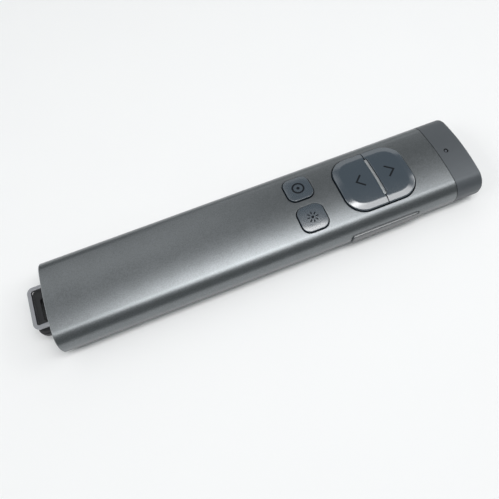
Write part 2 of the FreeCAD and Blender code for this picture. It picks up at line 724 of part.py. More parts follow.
def key_frame():
    """Plate that guides the keys and the rocker's pin, on five feet."""
    length = FRAME_HEAD_X - FRAME_TAIL_X
    mid_x = half(FRAME_HEAD_X + FRAME_TAIL_X)
    width = FRAME_HALF_WIDTH + FRAME_HALF_WIDTH
    frame = plate(mid_x, 0, length, width, FRAME_CORNER, FRAME_BOTTOM, FRAME_TOP)
    feet = []
    for x, y in frame_post_places():
        feet.append(rod(FRAME_POST_RADIUS, at(x, y, foot_height(y)), at(x, y, FRAME_TOP)))
    frame = joined(frame, *feet)
    low, high = FRAME_BOTTOM - OVERRUN, FRAME_TOP + OVERRUN
    opening = SWITCH_SIZE + SWITCH_WINDOW_GAP + SWITCH_WINDOW_GAP
    holes = [plate(KEY_X[key], KEY_Y[key], opening, opening, SWITCH_CORNER, low, high) for key in KEYS]
    pegs = pair_peg_places(-1) + pair_peg_places(1)
    pegs += small_peg_places("spotlight") + small_peg_places("laser")
    for x, y in pegs:
        holes.append(rod(PEG_RADIUS + PEG_FIT, at(x, y, low), at(x, y, high)))
    pin_radius = ROCKER_PIN_RADIUS + ROCKER_PIN_FIT
    holes.append(rod(pin_radius, at(ROCKER_X, ROCKER_PIN_Y, low), at(ROCKER_X, ROCKER_PIN_Y, high)))
    for hole in holes:
        frame = frame.cut(hole)
    return frame


def floor_height(y):
    """Height of the chassis floor at a distance from the middle."""
    beside = max(y - (HALF_WIDTH - LOWER_RADIUS), 0)
    return LOWER_RADIUS - math.sqrt((LOWER_RADIUS - CHASSIS_FLOOR) ** 2 - beside ** 2)


def foot_height(y):
    """Lower end of a foot of the key frame, just over the chassis floor."""
    return floor_height(abs(y) + FRAME_POST_RADIUS) + SPIGOT_FIT


def switch_case(key):
    """Body of a tact switch, with a round well for its stem."""
    x, y = KEY_X[key], KEY_Y[key]
    case = plate(x, y, SWITCH_SIZE, SWITCH_SIZE, SWITCH_CORNER, BOARD_TOP, SWITCH_TOP)
    well = rod(STEM_RADIUS + STEM_FIT, at(x, y, BOARD_TOP + SWITCH_FLOOR), at(x, y, SWITCH_TOP + OVERRUN))
    return case.cut(well)


def switch_stem(key):
    x, y = KEY_X[key], KEY_Y[key]
    return rod(STEM_RADIUS, at(x, y, STEM_TOP - STEM_LENGTH), at(x, y, STEM_TOP))


def side_switch_mid(side):
    depth = ROCKER_INNER_Y + SIDE_STEM_GAP + SIDE_STEM_PROUD + half(SIDE_SWITCH_DEPTH)
    return at(ROCKER_X + side * SIDE_SWITCH_OFFSET, depth, BOARD_MID_Z)


def side_switch(side):
    """Switch in a notch of the board's edge, its stem towards the rocker."""
    mid = side_switch_mid(side)
    case = block(mid, at(SIDE_SWITCH_LENGTH, SIDE_SWITCH_DEPTH, SIDE_SWITCH_HEIGHT))
    front = mid.y - half(SIDE_SWITCH_DEPTH) - SIDE_STEM_PROUD
    stem = box(mid.x - half(SIDE_STEM_LENGTH), mid.x + half(SIDE_STEM_LENGTH), front, mid.y,
               mid.z - half(SIDE_STEM_HEIGHT), mid.z + half(SIDE_STEM_HEIGHT))
    return joined(case, stem)


def board_screw_places():
    y = BOARD_HALF_WIDTH - BOARD_SCREW_INSET
    tail = BOARD_TAIL_X + BOARD_SCREW_INSET
    head = BOARD_HEAD_X - BOARD_SCREW_INSET
    return [(tail, -y), (tail, y), (head, -y), (head, y)]


def main_board():
    """Circuit board with notches for the side parts and an arm beside the laser for the antenna."""
    length = BOARD_HEAD_X - BOARD_TAIL_X
    mid_x = half(BOARD_HEAD_X + BOARD_TAIL_X)
    width = BOARD_HALF_WIDTH + BOARD_HALF_WIDTH
    board = plate(mid_x, 0, length, width, BOARD_CORNER, BOARD_BOTTOM, BOARD_TOP)
    arm_length = BOARD_ARM_REACH + BOARD_ARM_REACH
    arm_width = BOARD_HALF_WIDTH - ARM_INNER_Y
    arm = plate(BOARD_HEAD_X, ARM_MID_Y, arm_length, arm_width, BOARD_CORNER, BOARD_BOTTOM, BOARD_TOP)
    board = joined(board, arm)
    for cut in board_notches() + board_holes(BOARD_BOTTOM - OVERRUN, BOARD_TOP + OVERRUN):
        board = board.cut(cut)
    return board


def board_notches():
    """Cut-outs in the board's edges for the switches, the port and the rocker's lug."""
    low, high = BOARD_BOTTOM - OVERRUN, BOARD_TOP + OVERRUN
    cuts = []
    for side in (-1, 1):
        mid = side_switch_mid(side)
        reach = half(SIDE_SWITCH_LENGTH) + SCREW_FIT
        inner = mid.y + half(SIDE_SWITCH_DEPTH) + SCREW_FIT
        cuts.append(box(mid.x - reach, mid.x + reach, -HALF_WIDTH, inner, low, high))
    reach = half(PORT_WIDTH) + SCREW_FIT
    inner = port_back_y() - SCREW_FIT
    cuts.append(box(PORT_X - reach, PORT_X + reach, inner, HALF_WIDTH, low, high))
    reach = half(SLIDER_CASE_LENGTH) + SCREW_FIT
    inner = slider_case_back() - SCREW_FIT
    cuts.append(box(SLIDER_CASE_X - reach, SLIDER_CASE_X + reach, inner, HALF_WIDTH, low, high))
    lug = ROCKER_LUG_RADIUS + ROCKER_LUG_GAP
    cuts.append(rod(lug, at(ROCKER_X, ROCKER_PIN_Y, low), at(ROCKER_X, ROCKER_PIN_Y, high)))
    return cuts


def board_holes(low, high):
    """Clearance holes for the board's screws, between two heights."""
    return [rod(SCREW_RADIUS + SCREW_FIT, at(x, y, low), at(x, y, high)) for x, y in board_screw_places()]


def board_screws():
    """Four pan-head screws through the board into the chassis bosses."""
    screws = []
    for x, y in board_screw_places():
        shank = rod(SCREW_RADIUS, at(x, y, BOARD_TOP - SCREW_LENGTH), at(x, y, BOARD_TOP))
        head = rod(SCREW_HEAD_RADIUS, at(x, y, BOARD_TOP), at(x, y, BOARD_TOP + SCREW_HEAD_HEIGHT))
        top = BOARD_TOP + SCREW_HEAD_HEIGHT
        slot = box(x - SCREW_HEAD_RADIUS, x + SCREW_HEAD_RADIUS, y - half(SCREW_SLOT_WIDTH),
                   y + half(SCREW_SLOT_WIDTH), top - SCREW_SLOT_DEPTH, top + OVERRUN)
        screws.append(joined(shank, head).cut(slot))
    return Part.makeCompound(screws)


def radio_shield():
    """Pressed can over the radio, open underneath."""
    x = SEAM_X - SHIELD_FROM_SEAM
    can = plate(x, 0, SHIELD_LENGTH, SHIELD_WIDTH, SHIELD_CORNER, BOARD_TOP, BOARD_TOP + SHIELD_HEIGHT)
    thin = SHIELD_SHEET + SHIELD_SHEET
    inner = plate(x, 0, SHIELD_LENGTH - thin, SHIELD_WIDTH - thin, SHIELD_CORNER - SHIELD_SHEET,
                  BOARD_TOP - OVERRUN, BOARD_TOP + SHIELD_HEIGHT - SHIELD_SHEET)
    return can.cut(inner)


def radio_chip():
    x = SEAM_X - SHIELD_FROM_SEAM
    mid = at(x, 0, BOARD_TOP + half(CRYSTAL_HEIGHT))
    return block(mid, at(half(SHIELD_LENGTH), half(SHIELD_WIDTH), CRYSTAL_HEIGHT))


def crystal():
    """Metal crystal can beside the shield."""
    x = SEAM_X - SHIELD_FROM_SEAM
    y = half(SHIELD_WIDTH) + CRYSTAL_GAP + half(CRYSTAL_WIDTH)
    return plate(x, y, CRYSTAL_LENGTH, CRYSTAL_WIDTH, SWITCH_CORNER, BOARD_TOP, BOARD_TOP + CRYSTAL_HEIGHT)


def antenna():
    """Chip antenna on the board's arm, under the plastic cap."""
    x = BOARD_HEAD_X + BOARD_ARM_REACH - half(ANTENNA_LENGTH) - BOARD_CORNER - BOARD_CORNER
    mid = at(x, ARM_MID_Y, BOARD_TOP + half(ANTENNA_HEIGHT))
    return block(mid, at(ANTENNA_LENGTH, ANTENNA_WIDTH, ANTENNA_HEIGHT))


def battery_socket():
    """Two-way wire socket at the tail edge of the board."""
    x = BOARD_TAIL_X + half(SOCKET_LENGTH)
    body = plate(x, 0, SOCKET_LENGTH, SOCKET_WIDTH, SWITCH_CORNER, BOARD_TOP, BOARD_TOP + SOCKET_HEIGHT)
    mouth_width = half(SOCKET_WIDTH) + SCREW_SLOT_WIDTH
    mouth = box(BOARD_TAIL_X - OVERRUN, x, -half(mouth_width), half(mouth_width),
                BOARD_TOP + SCREW_SLOT_WIDTH, BOARD_TOP + SOCKET_HEIGHT - SCREW_SLOT_WIDTH)
    return body.cut(mouth)


def rocker_face():
    """Outer part of the rocker, which follows the wall, stands a little proud and has a rounded edge."""
    proud = body_prism(ROCKER_X - ROCKER_LENGTH, ROCKER_X + ROCKER_LENGTH, -ROCKER_PROUD)
    outer_y = -HALF_WIDTH - ROCKER_PROUD - OVERRUN
    key = side_plate(ROCKER_X, ROCKER_MID_HEIGHT, ROCKER_LENGTH, ROCKER_HEIGHT, ROCKER_CORNER,
                     outer_y, ROCKER_INNER_Y)
    key = key.common(proud)
    line = -HALF_WIDTH + ROCKER_EDGE_RADIUS
    return key.makeFillet(ROCKER_EDGE_RADIUS, [edge for edge in key.Edges if edge.BoundBox.YMax < line])


def rocker():
    """Long key in the side wall: its face, a rim inside the wall and a lug on a pin."""
    grow = ROCKER_FLANGE + ROCKER_FLANGE
    rim = side_plate(ROCKER_X, ROCKER_MID_HEIGHT, ROCKER_LENGTH + grow, ROCKER_HEIGHT + grow,
                     ROCKER_CORNER + ROCKER_FLANGE, -HALF_WIDTH, ROCKER_INNER_Y)
    inset = SLEEVE_WALL + ROCKER_FLANGE_GAP
    rim = rim.common(body_prism(ROCKER_X - ROCKER_LENGTH, ROCKER_X + ROCKER_LENGTH, inset))
    low = at(ROCKER_X, ROCKER_PIN_Y, ROCKER_MID_HEIGHT - half(ROCKER_HEIGHT))
    top = min(ROCKER_MID_HEIGHT + half(ROCKER_HEIGHT), FRAME_BOTTOM - SLIDER_GAP)
    high = at(ROCKER_X, ROCKER_PIN_Y, top)
    lug = rod(ROCKER_LUG_RADIUS, low, high)
    web = box(ROCKER_X - ROCKER_LUG_RADIUS, ROCKER_X + ROCKER_LUG_RADIUS, -HALF_WIDTH + SLEEVE_WALL,
              ROCKER_PIN_Y, low.z, high.z)
    over = at(0, 0, OVERRUN)
    hole = rod(ROCKER_PIN_RADIUS + ROCKER_PIN_FIT, low - over, high + over)
    return joined(rocker_face(), rim, web, lug).cut(hole)


def rocker_pin_foot():
    """Lower end of the rocker's pin, set into the chassis floor."""
    return at(ROCKER_X, ROCKER_PIN_Y, floor_height(abs(ROCKER_PIN_Y) + ROCKER_PIN_RADIUS) - ROCKER_PIN_SEAT)


def rocker_pin():
    """Upright pin from the chassis to the key frame."""
    return rod(ROCKER_PIN_RADIUS, rocker_pin_foot(), at(ROCKER_X, ROCKER_PIN_Y, FRAME_TOP))


def slider_inner_y():
    """Inner face of the slider's rim."""
    return HALF_WIDTH - SLEEVE_WALL - SLIDER_GAP - SLIDER_FLANGE_THICKNESS


def slider_case_back():
    return slider_inner_y() - SLIDER_CASE_GAP - SLIDER_CASE_DEPTH


def power_slider():
    """Ribbed thumb piece in the side wall, with a rim inside."""
    length, height = SLIDER_LENGTH, SLIDER_HEIGHT
    inner_y = slider_inner_y()
    outer_y = HALF_WIDTH + SLIDER_PROUD
    low_x, high_x = SLIDER_X - length, SLIDER_X + length
    knob = side_plate(SLIDER_X, BOARD_MID_Z, length, height, height, inner_y, outer_y + OVERRUN)
    knob = knob.common(body_prism(low_x, high_x, -SLIDER_PROUD))
    first_x = SLIDER_X - half((SLIDER_GROOVES - 1) * SLIDER_GROOVE_PITCH)
    for index in range(SLIDER_GROOVES):
        mid = at(first_x + index * SLIDER_GROOVE_PITCH, outer_y, BOARD_MID_Z)
        deep = SLIDER_GROOVE_DEPTH + SLIDER_GROOVE_DEPTH
        knob = knob.cut(block(mid, at(SLIDER_GROOVE_WIDTH, deep, height + height)))
    length, height = length + SLIDER_FLANGE + SLIDER_FLANGE, height + SLIDER_FLANGE + SLIDER_FLANGE
    rim = side_plate(SLIDER_X, BOARD_MID_Z, length, height, SLIDER_FLANGE, inner_y, HALF_WIDTH)
    return joined(knob, rim.common(body_prism(low_x, high_x, SLEEVE_WALL + SLIDER_GAP)))


def power_switch_lever():
    """Lever of the slide switch, carried along by the thumb piece."""
    front = slider_inner_y()
    back = front - SLIDER_CASE_GAP - half(SLIDER_CASE_DEPTH)
    mid = at(SLIDER_X, half(front + back), BOARD_MID_Z)
    return block(mid, at(SLIDER_LEVER_LENGTH, front - back, SLIDER_LEVER_HEIGHT))


def power_switch_case():
    """Case of the slide switch in a notch of the board, with a slot for its lever."""
    front = slider_inner_y() - SLIDER_CASE_GAP
    back = slider_case_back()
    mid = at(SLIDER_CASE_X, half(front + back), BOARD_MID_Z)
    case = block(mid, at(SLIDER_CASE_LENGTH, SLIDER_CASE_DEPTH, SLIDER_CASE_HEIGHT))
    slot_length = SLIDER_LEVER_LENGTH + SLIDER_TRAVEL + SLIDER_GAP + SLIDER_GAP
    slot_height = SLIDER_LEVER_HEIGHT + SLIDER_GAP + SLIDER_GAP
    slot_back, slot_front = back + SLIDER_CASE_WALL, front + OVERRUN
    slot_mid = at(SLIDER_CASE_X, half(slot_back + slot_front), BOARD_MID_Z)
    return case.cut(block(slot_mid, at(slot_length, slot_front - slot_back, slot_height)))


def port_face_y():
    return HALF_WIDTH - PORT_SINK


def port_back_y():
    return port_face_y() - PORT_DEPTH


def charge_port():
    """Pressed shell of the charge socket, closed behind."""
    back, front = port_back_y(), port_face_y()
    shell = side_plate(PORT_X, BOARD_MID_Z, PORT_WIDTH, PORT_HEIGHT, PORT_HEIGHT, back, front)
    thin = PORT_SHEET + PORT_SHEET
    inner = side_plate(PORT_X, BOARD_MID_Z, PORT_WIDTH - thin, PORT_HEIGHT - thin, PORT_HEIGHT,
                       back + PORT_SHEET, front + OVERRUN)
    return shell.cut(inner)


def charge_port_tongue():
    """Contact tongue and its root in the socket."""
    root_y = port_back_y() + PORT_SHEET
    front_y = root_y + TONGUE_ROOT
    thin = PORT_SHEET + PORT_SHEET
    width, height = PORT_WIDTH - thin, PORT_HEIGHT - thin
    root = side_plate(PORT_X, BOARD_MID_Z, width, height, PORT_HEIGHT, root_y, front_y)
    tongue = side_plate(PORT_X, BOARD_MID_Z, TONGUE_WIDTH, TONGUE_HEIGHT, half(TONGUE_HEIGHT), root_y,
                        front_y + TONGUE_LENGTH)
    return joined(root, tongue)


def battery_bounds():
    """Ends of the battery, between the tail cap and the board."""
    low = CHASSIS_TAIL_X + BATTERY_END_GAP + CHASSIS_RIB + STRIP_LENGTH
    high = BOARD_TAIL_X - BATTERY_END_GAP - CHASSIS_RIB
    return low, high


def battery_cell():
    """Pouch cell with rounded long edges."""
    low, high = battery_bounds()
    mid_z = CHASSIS_FLOOR + half(BATTERY_HEIGHT)
    width = BATTERY_HALF_WIDTH + BATTERY_HALF_WIDTH
    return end_plate(0, mid_z, width, BATTERY_HEIGHT, BATTERY_CORNER, low, high)


def battery_protection_board():
    """Strip board folded against the tail end of the cell."""
    low, high = battery_bounds()
    low_z = CHASSIS_FLOOR + STRIP_SEAT - STRIP_HEIGHT
    return box(low - STRIP_LENGTH, low, -half(STRIP_WIDTH), half(STRIP_WIDTH), low_z, low_z + STRIP_HEIGHT)


def battery_pad():
    """Foam pad on the cell."""
    low, high = battery_bounds()
    top = CHASSIS_FLOOR + BATTERY_HEIGHT
    length = (high - low) * PAD_LENGTH_SHARE
    width = (BATTERY_HALF_WIDTH + BATTERY_HALF_WIDTH) * PAD_WIDTH_SHARE
    return plate(half(low + high), 0, length, width, BATTERY_CORNER, top, top + PAD_THICKNESS)


def chassis():
    """Moulded tray in the bottom of the sleeve, with ribs round the cell and bosses for the board."""
    inset = SLEEVE_WALL + CHASSIS_FIT
    tray = body_prism(CHASSIS_TAIL_X, CHASSIS_HEAD_X, inset)
    tray = tray.cut(body_prism(CHASSIS_TAIL_X - OVERRUN, CHASSIS_HEAD_X + OVERRUN, inset + CHASSIS_WALL))
    tray = tray.common(box(TAIL_X, HEAD_X, -HALF_WIDTH, HALF_WIDTH, 0, CHASSIS_RIM))
    tray = joined(tray, *chassis_ribs(), *chassis_bosses())
    cuts = board_holes(BOARD_TOP - SCREW_LENGTH - SPIGOT_FIT, BOARD_TOP) + chassis_side_room()
    pin_radius = ROCKER_PIN_RADIUS + ROCKER_PIN_FIT
    cuts.append(rod(pin_radius, rocker_pin_foot(), at(ROCKER_X, ROCKER_PIN_Y, FRAME_TOP)))
    for cut in cuts:
        tray = tray.cut(cut)
    return tray


def chassis_side_room():
    """Room over the tray's side wall for the charge port and the slider's rim."""
    low = BOARD_MID_Z - half(PORT_HEIGHT) - CHASSIS_FIT
    reach = half(PORT_WIDTH) + CHASSIS_FIT
    port = box(PORT_X - reach, PORT_X + reach, port_back_y(), HALF_WIDTH, low, BOARD_MID_Z)
    low = BOARD_MID_Z - half(SLIDER_HEIGHT) - SLIDER_FLANGE - CHASSIS_FIT
    reach = half(SLIDER_LENGTH + SLIDER_TRAVEL) + SLIDER_FLANGE + CHASSIS_FIT
    low_x, high_x = SLIDER_CASE_X - reach, SLIDER_CASE_X + reach
    return [port, box(low_x, high_x, slider_case_back(), HALF_WIDTH, low, BOARD_MID_Z)]


def chassis_ribs():
    """Cross ribs at the cell's ends, and a block under its folded board."""
    low, high = battery_bounds()
    inset = SLEEVE_WALL + CHASSIS_FIT + half(CHASSIS_WALL)
    inside = body_prism(CHASSIS_TAIL_X, CHASSIS_HEAD_X, inset)
    root = CHASSIS_FLOOR - half(CHASSIS_WALL)
    ribs = []
    for x in (low - STRIP_LENGTH - CHASSIS_RIB, high + SPIGOT_FIT):
        rib = box(x, x + CHASSIS_RIB, -BATTERY_HALF_WIDTH, BATTERY_HALF_WIDTH, root,
                  CHASSIS_FLOOR + CHASSIS_RIB_HEIGHT)
        ribs.append(rib.common(inside))
    top = CHASSIS_FLOOR + STRIP_SEAT - STRIP_HEIGHT
    reach = half(STRIP_WIDTH)
    ribs.append(box(low - STRIP_LENGTH, low - half(STRIP_LENGTH), -reach, reach, root, top))
    return ribs


def chassis_bosses():
    """Round posts under the board's screws."""
    root = CHASSIS_FLOOR - half(CHASSIS_WALL)
    return [rod(BOSS_RADIUS, at(x, y, root), at(x, y, BOARD_BOTTOM)) for x, y in board_screw_places()]


def receiver_floor():
    """Lowest face of the receiver case in its bay."""
    return SLEEVE_WALL + TAIL_FIT + TAIL_WEB + RECEIVER_GAP


def receiver_top():
    return LOOP_Z - half(LOOP_THICKNESS) - TAIL_WEB - RECEIVER_GAP


def receiver_mid_z():
    return half(receiver_floor() + receiver_top())


def plug_seat_x():
    return TAIL_CAP_FACE_X + RECEIVER_LENGTH


def tail_cap():
    """Moulded plug in the tail of the sleeve, with a bay for the receiver and slots for the loop."""
    cap = body_prism(TAIL_CAP_FACE_X, TAIL_CAP_END_X, SLEEVE_WALL + TAIL_FIT)
    gap = RECEIVER_GAP + RECEIVER_GAP
    height = receiver_top() - receiver_floor()
    mid_z = receiver_mid_z()
    mouth_end = plug_seat_x() + RECEIVER_GAP
    low_x = TAIL_CAP_FACE_X - OVERRUN
    corner = RECEIVER_CORNER + RECEIVER_GAP
    cuts = [end_plate(0, mid_z, RECEIVER_WIDTH + gap, height + gap, corner, low_x, mouth_end)]
    plug_end = plug_seat_x() + PLUG_LENGTH + RECEIVER_GAP
    corner = PLUG_CORNER + RECEIVER_GAP
    cuts.append(end_plate(0, mid_z, PLUG_WIDTH + gap, PLUG_HEIGHT + gap, corner, low_x, plug_end))
    arm_y = half(LOOP_WIDTH) - half(LOOP_STRIP)
    strip = LOOP_STRIP + LOOP_FIT + LOOP_FIT
    thick = LOOP_THICKNESS + LOOP_FIT + LOOP_FIT
    slot_end = TAIL_X + LOOP_ROOT + LOOP_FIT
    for side in (-1, 1):
        cuts.append(end_plate(side * arm_y, LOOP_Z, strip, thick, LOOP_FIT, low_x, slot_end))
    cuts.append(loop_pin_rod(LOOP_FIT))
    for cut in cuts:
        cap = cap.cut(cut)
    return cap


def loop_pin_rod(gap):
    """Cross pin through the loop's arms, widened by a gap."""
    x = TAIL_X + LOOP_PIN_SET_IN
    reach = half(LOOP_WIDTH) + LOOP_PIN_OVERHANG + gap
    return rod(LOOP_PIN_RADIUS + gap, at(x, -reach, LOOP_Z), at(x, reach, LOOP_Z))


def loop_pin():
    return loop_pin_rod(0)


def lanyard_loop():
    """Flat metal U for a strap, its arms in the tail cap, held by a cross pin."""
    length = LOOP_REACH + LOOP_ROOT
    over = length + LOOP_CORNER
    mid_x = TAIL_X - LOOP_REACH + half(over)
    low_z, high_z = LOOP_Z - half(LOOP_THICKNESS), LOOP_Z + half(LOOP_THICKNESS)
    outer = plate(mid_x, 0, over, LOOP_WIDTH, LOOP_CORNER, low_z, high_z)
    inner_width = LOOP_WIDTH - LOOP_STRIP - LOOP_STRIP
    inner_corner = LOOP_CORNER - LOOP_STRIP
    inner = plate(mid_x + LOOP_STRIP, 0, over, inner_width, inner_corner, low_z - OVERRUN, high_z + OVERRUN)
    end = TAIL_X + LOOP_ROOT
    trim = box(end, end + over, -LOOP_WIDTH, LOOP_WIDTH, low_z - OVERRUN, high_z + OVERRUN)
    return outer.cut(inner).cut(trim).cut(loop_pin_rod(LOOP_FIT))


def receiver_case():
    """Moulded end of the receiver, with seats for the plug behind and the grip in front."""
    height = receiver_top() - receiver_floor()
    mid_z = receiver_mid_z()
    seat_x = plug_seat_x()
    case = end_plate(0, mid_z, RECEIVER_WIDTH, height, RECEIVER_CORNER, TAIL_CAP_FACE_X, seat_x)
    seat = end_plate(0, mid_z, PLUG_WIDTH, PLUG_HEIGHT, PLUG_CORNER, seat_x - PLUG_SEAT, seat_x + OVERRUN)
    return case.cut(seat).cut(grip_root(TAIL_CAP_FACE_X - OVERRUN))


def receiver_plug_shell():
    """Folded shell of the plug, with its two windows above and below."""
    mid_z = receiver_mid_z()
    start = plug_seat_x() - PLUG_SEAT
    end = plug_seat_x() + PLUG_LENGTH
    shell = end_plate(0, mid_z, PLUG_WIDTH, PLUG_HEIGHT, PLUG_CORNER, start, end)
    thin = PLUG_SHEET + PLUG_SHEET
    width, height = PLUG_WIDTH - thin, PLUG_HEIGHT - thin
    inner_corner = PLUG_CORNER - half(PLUG_SHEET)
    shell = shell.cut(end_plate(0, mid_z, width, height, inner_corner, start + PLUG_SHEET, end + OVERRUN))
    for side in (-1, 1):
        mid = at(plug_seat_x() + PLUG_WINDOW_FROM_SEAT, side * PLUG_WINDOW_OFFSET, mid_z)
        shell = shell.cut(block(mid, at(PLUG_WINDOW, PLUG_WINDOW, PLUG_HEIGHT + OVERRUN)))
    return shell


def receiver_plug_tongue():
    """Contact tongue along the lower side of the plug."""
    start = plug_seat_x() - PLUG_SEAT + PLUG_SHEET
    end = plug_seat_x() + PLUG_LENGTH - PLUG_TONGUE_SINK
    low_z = receiver_mid_z() - half(PLUG_HEIGHT) + PLUG_SHEET
    width = PLUG_WIDTH - PLUG_SHEET - PLUG_SHEET
    mid_z = low_z + half(PLUG_TONGUE_HEIGHT)
    return end_plate(0, mid_z, width, PLUG_TONGUE_HEIGHT, PLUG_CORNER - half(PLUG_SHEET), start, end)


def grip_root(low_x):
    """Tongue of the grip that sits in the receiver's end, from a given place."""
    high_x = TAIL_CAP_FACE_X + GRIP_SEAT
    return end_plate(0, receiver_mid_z(), GRIP_ROOT_WIDTH, GRIP_ROOT_HEIGHT, PLUG_CORNER, low_x, high_x)


def receiver_pull():
    """Flat moulded grip on the receiver's end, with round corners and a slot across its middle."""
    start = TAIL_X - GRIP_REACH
    end = TAIL_CAP_FACE_X - RECEIVER_GAP
    over = end + GRIP_CORNER
    mid_z = receiver_mid_z()
    low_z, high_z = mid_z - half(GRIP_THICKNESS), mid_z + half(GRIP_THICKNESS)
    grip = plate(half(start + over), 0, over - start, GRIP_WIDTH, GRIP_CORNER, low_z, high_z)
    level = [edge for edge in grip.Edges if edge.BoundBox.ZLength < EDGE_REACH]
    grip = grip.makeFillet(GRIP_EDGE_RADIUS, level)
    grip = grip.common(box(start, end, -GRIP_WIDTH, GRIP_WIDTH, low_z, high_z))
    slot_x = start + GRIP_BAR + half(GRIP_SLOT_LENGTH)
    low_z, high_z = low_z - OVERRUN, high_z + OVERRUN
    slot = plate(slot_x, 0, GRIP_SLOT_LENGTH, GRIP_SLOT_WIDTH, GRIP_SLOT_CORNER, low_z, high_z)
    return joined(grip.cut(slot), grip_root(end - RECEIVER_GAP))


def pieces():
    """Every piece of the clicker by its name."""
    made = {
        "sleeve": sleeve(),
        "head_cap": head_cap(),
        "laser_window": laser_window(),
        "laser_barrel": laser_barrel(),
        "laser_lens": laser_lens(),
        "laser_diode": laser_diode(),
        "laser_board": laser_board(),
        "status_light_pipe": status_light_pipe(),
        "status_led": status_led(),
        "previous_button": pair_half(-1),
        "next_button": pair_half(1),
        "divider_bar": divider_bar(),
        "spotlight_button": small_key("spotlight"),
        "laser_button": small_key("laser"),
        "key_frame": key_frame(),
        "volume_rocker": rocker(),
        "rocker_pin": rocker_pin(),
        "volume_up_switch": side_switch(1),
        "volume_down_switch": side_switch(-1),
        "main_board": main_board(),
        "board_screws": board_screws(),
        "radio_shield": radio_shield(),
        "radio_chip": radio_chip(),
        "crystal": crystal(),
        "antenna": antenna(),
        "battery_socket": battery_socket(),
        "power_slider": power_slider(),
        "power_switch_lever": power_switch_lever(),
        "power_switch_case": power_switch_case(),
        "charge_port": charge_port(),
        "charge_port_tongue": charge_port_tongue(),
        "battery_cell": battery_cell(),
        "battery_protection_board": battery_protection_board(),
        "battery_pad": battery_pad(),
        "chassis": chassis(),
        "tail_cap": tail_cap(),
        "lanyard_loop": lanyard_loop(),
        "loop_pin": loop_pin(),
        "receiver_case": receiver_case(),
        "receiver_plug_shell": receiver_plug_shell(),
        "receiver_plug_tongue": receiver_plug_tongue(),
        "receiver_pull": receiver_pull(),
    }
    for key in KEYS:
        made[key + "_switch_case"] = switch_case(key)
        made[key + "_switch_stem"] = switch_stem(key)
    return made


os.makedirs("parts", exist_ok=True)
for name, shape in pieces().items():
    if not shape.isValid() or shape.Volume <= 0:
        raise RuntimeError("bad shape: " + name)
    shape.exportStep("parts/" + name + ".step")
    print(name, len(shape.Solids), round(shape.Volume, 1))
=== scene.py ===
"""Looks of a wireless presentation clicker: metal sleeve, moulded cap and keys, strap loop and receiver."""
import json
import math

import bmesh
import bpy
from bpy.props import FloatProperty, FloatVectorProperty, PointerProperty
from mathutils import Matrix, Vector


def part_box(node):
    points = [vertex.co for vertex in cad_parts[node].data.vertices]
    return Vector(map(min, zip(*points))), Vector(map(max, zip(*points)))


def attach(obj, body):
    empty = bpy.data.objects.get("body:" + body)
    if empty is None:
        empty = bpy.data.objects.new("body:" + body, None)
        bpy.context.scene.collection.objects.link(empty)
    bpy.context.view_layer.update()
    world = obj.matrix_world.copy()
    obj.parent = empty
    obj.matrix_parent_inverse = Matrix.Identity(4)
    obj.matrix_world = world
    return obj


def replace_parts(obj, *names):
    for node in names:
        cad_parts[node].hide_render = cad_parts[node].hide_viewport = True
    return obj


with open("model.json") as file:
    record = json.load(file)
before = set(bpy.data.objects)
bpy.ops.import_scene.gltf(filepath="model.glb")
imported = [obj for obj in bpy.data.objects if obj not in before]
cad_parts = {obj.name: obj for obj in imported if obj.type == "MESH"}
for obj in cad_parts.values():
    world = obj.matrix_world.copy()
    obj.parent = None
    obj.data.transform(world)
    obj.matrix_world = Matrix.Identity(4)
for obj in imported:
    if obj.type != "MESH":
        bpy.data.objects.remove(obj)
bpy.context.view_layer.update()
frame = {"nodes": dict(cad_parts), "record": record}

bl_info = {
    "name": "Presentation clicker",
    "version": (1, 0, 0),
    "blender": (4, 5, 0),
    "location": "3D View > Sidebar > Clicker",
    "description": "Builds the finished pieces of a presentation clicker round its fixed frame",
    "category": "Add Mesh",
}

SLEEVE_LOW, SLEEVE_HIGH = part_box("sleeve")
CAP_LOW, CAP_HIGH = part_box("head_cap")
MM = 0.001
QUARTER = math.pi / 2
EAST = Vector((1, 0, 0))
UP = Vector((0, 0, 1))

# Rounded edges: how many flat steps each takes, and how far a cutter flares above its edge, in its radii
ROUND_STEPS = 8
BAR_STEPS = 6
LOOP_CORNER_STEPS, LOOP_EDGE_STEPS = 12, 4
FLARE_STEPS = 3
FLARE_REACH, FLARE_LIFT = 3, 2

# Head cap: its walls, and the radii of the laser hole, the light pipe and the pinhole
SEAM_GAP = 0.08 * MM
SEAM_EDGE = 0.08 * MM
CAP_WALL = 1.1 * MM
CAP_END_WALL = 1.6 * MM
BORE_FIT = 0.08 * MM
APERTURE = 1.6 * MM
WINDOW_LIP = 0.15 * MM
PIPE_RADIUS = 0.75 * MM
PINHOLE = 0.8 * MM
PINHOLE_EDGE = 0.1 * MM

# Keys: how steep a slope starts at the face, as a share of its mean, and the rings that carry the crown
FLANGE_GAP = 0.6 * MM
FLANGE_THICKNESS = 0.8 * MM
SQUARE_CORNER = 0.05 * MM
SMALL_KEYS = ("spotlight_button", "laser_button")
LARGE_START_SHARE = 0.85
SMALL_START_SHARE = 0.1
PROFILE_STEPS = 9
CROWN_RINGS = 16
FOCUS_SHARE = 0.25
BAR_RISE = 0.75 * MM
BAR_ROUND = 0.2 * MM
ROUND_END = 0.98
OVERRUN = 2.0 * MM

# Points in each corner and along each edge of an outline: usual, half of a key, and the narrow ones
USUAL_POINTS = (12, 10)
HALF_POINTS = (2, 60)
SLOT_POINTS = (8, 30)
BAR_POINTS = (10, 30)
ROCKER_POINTS = (12, 24)

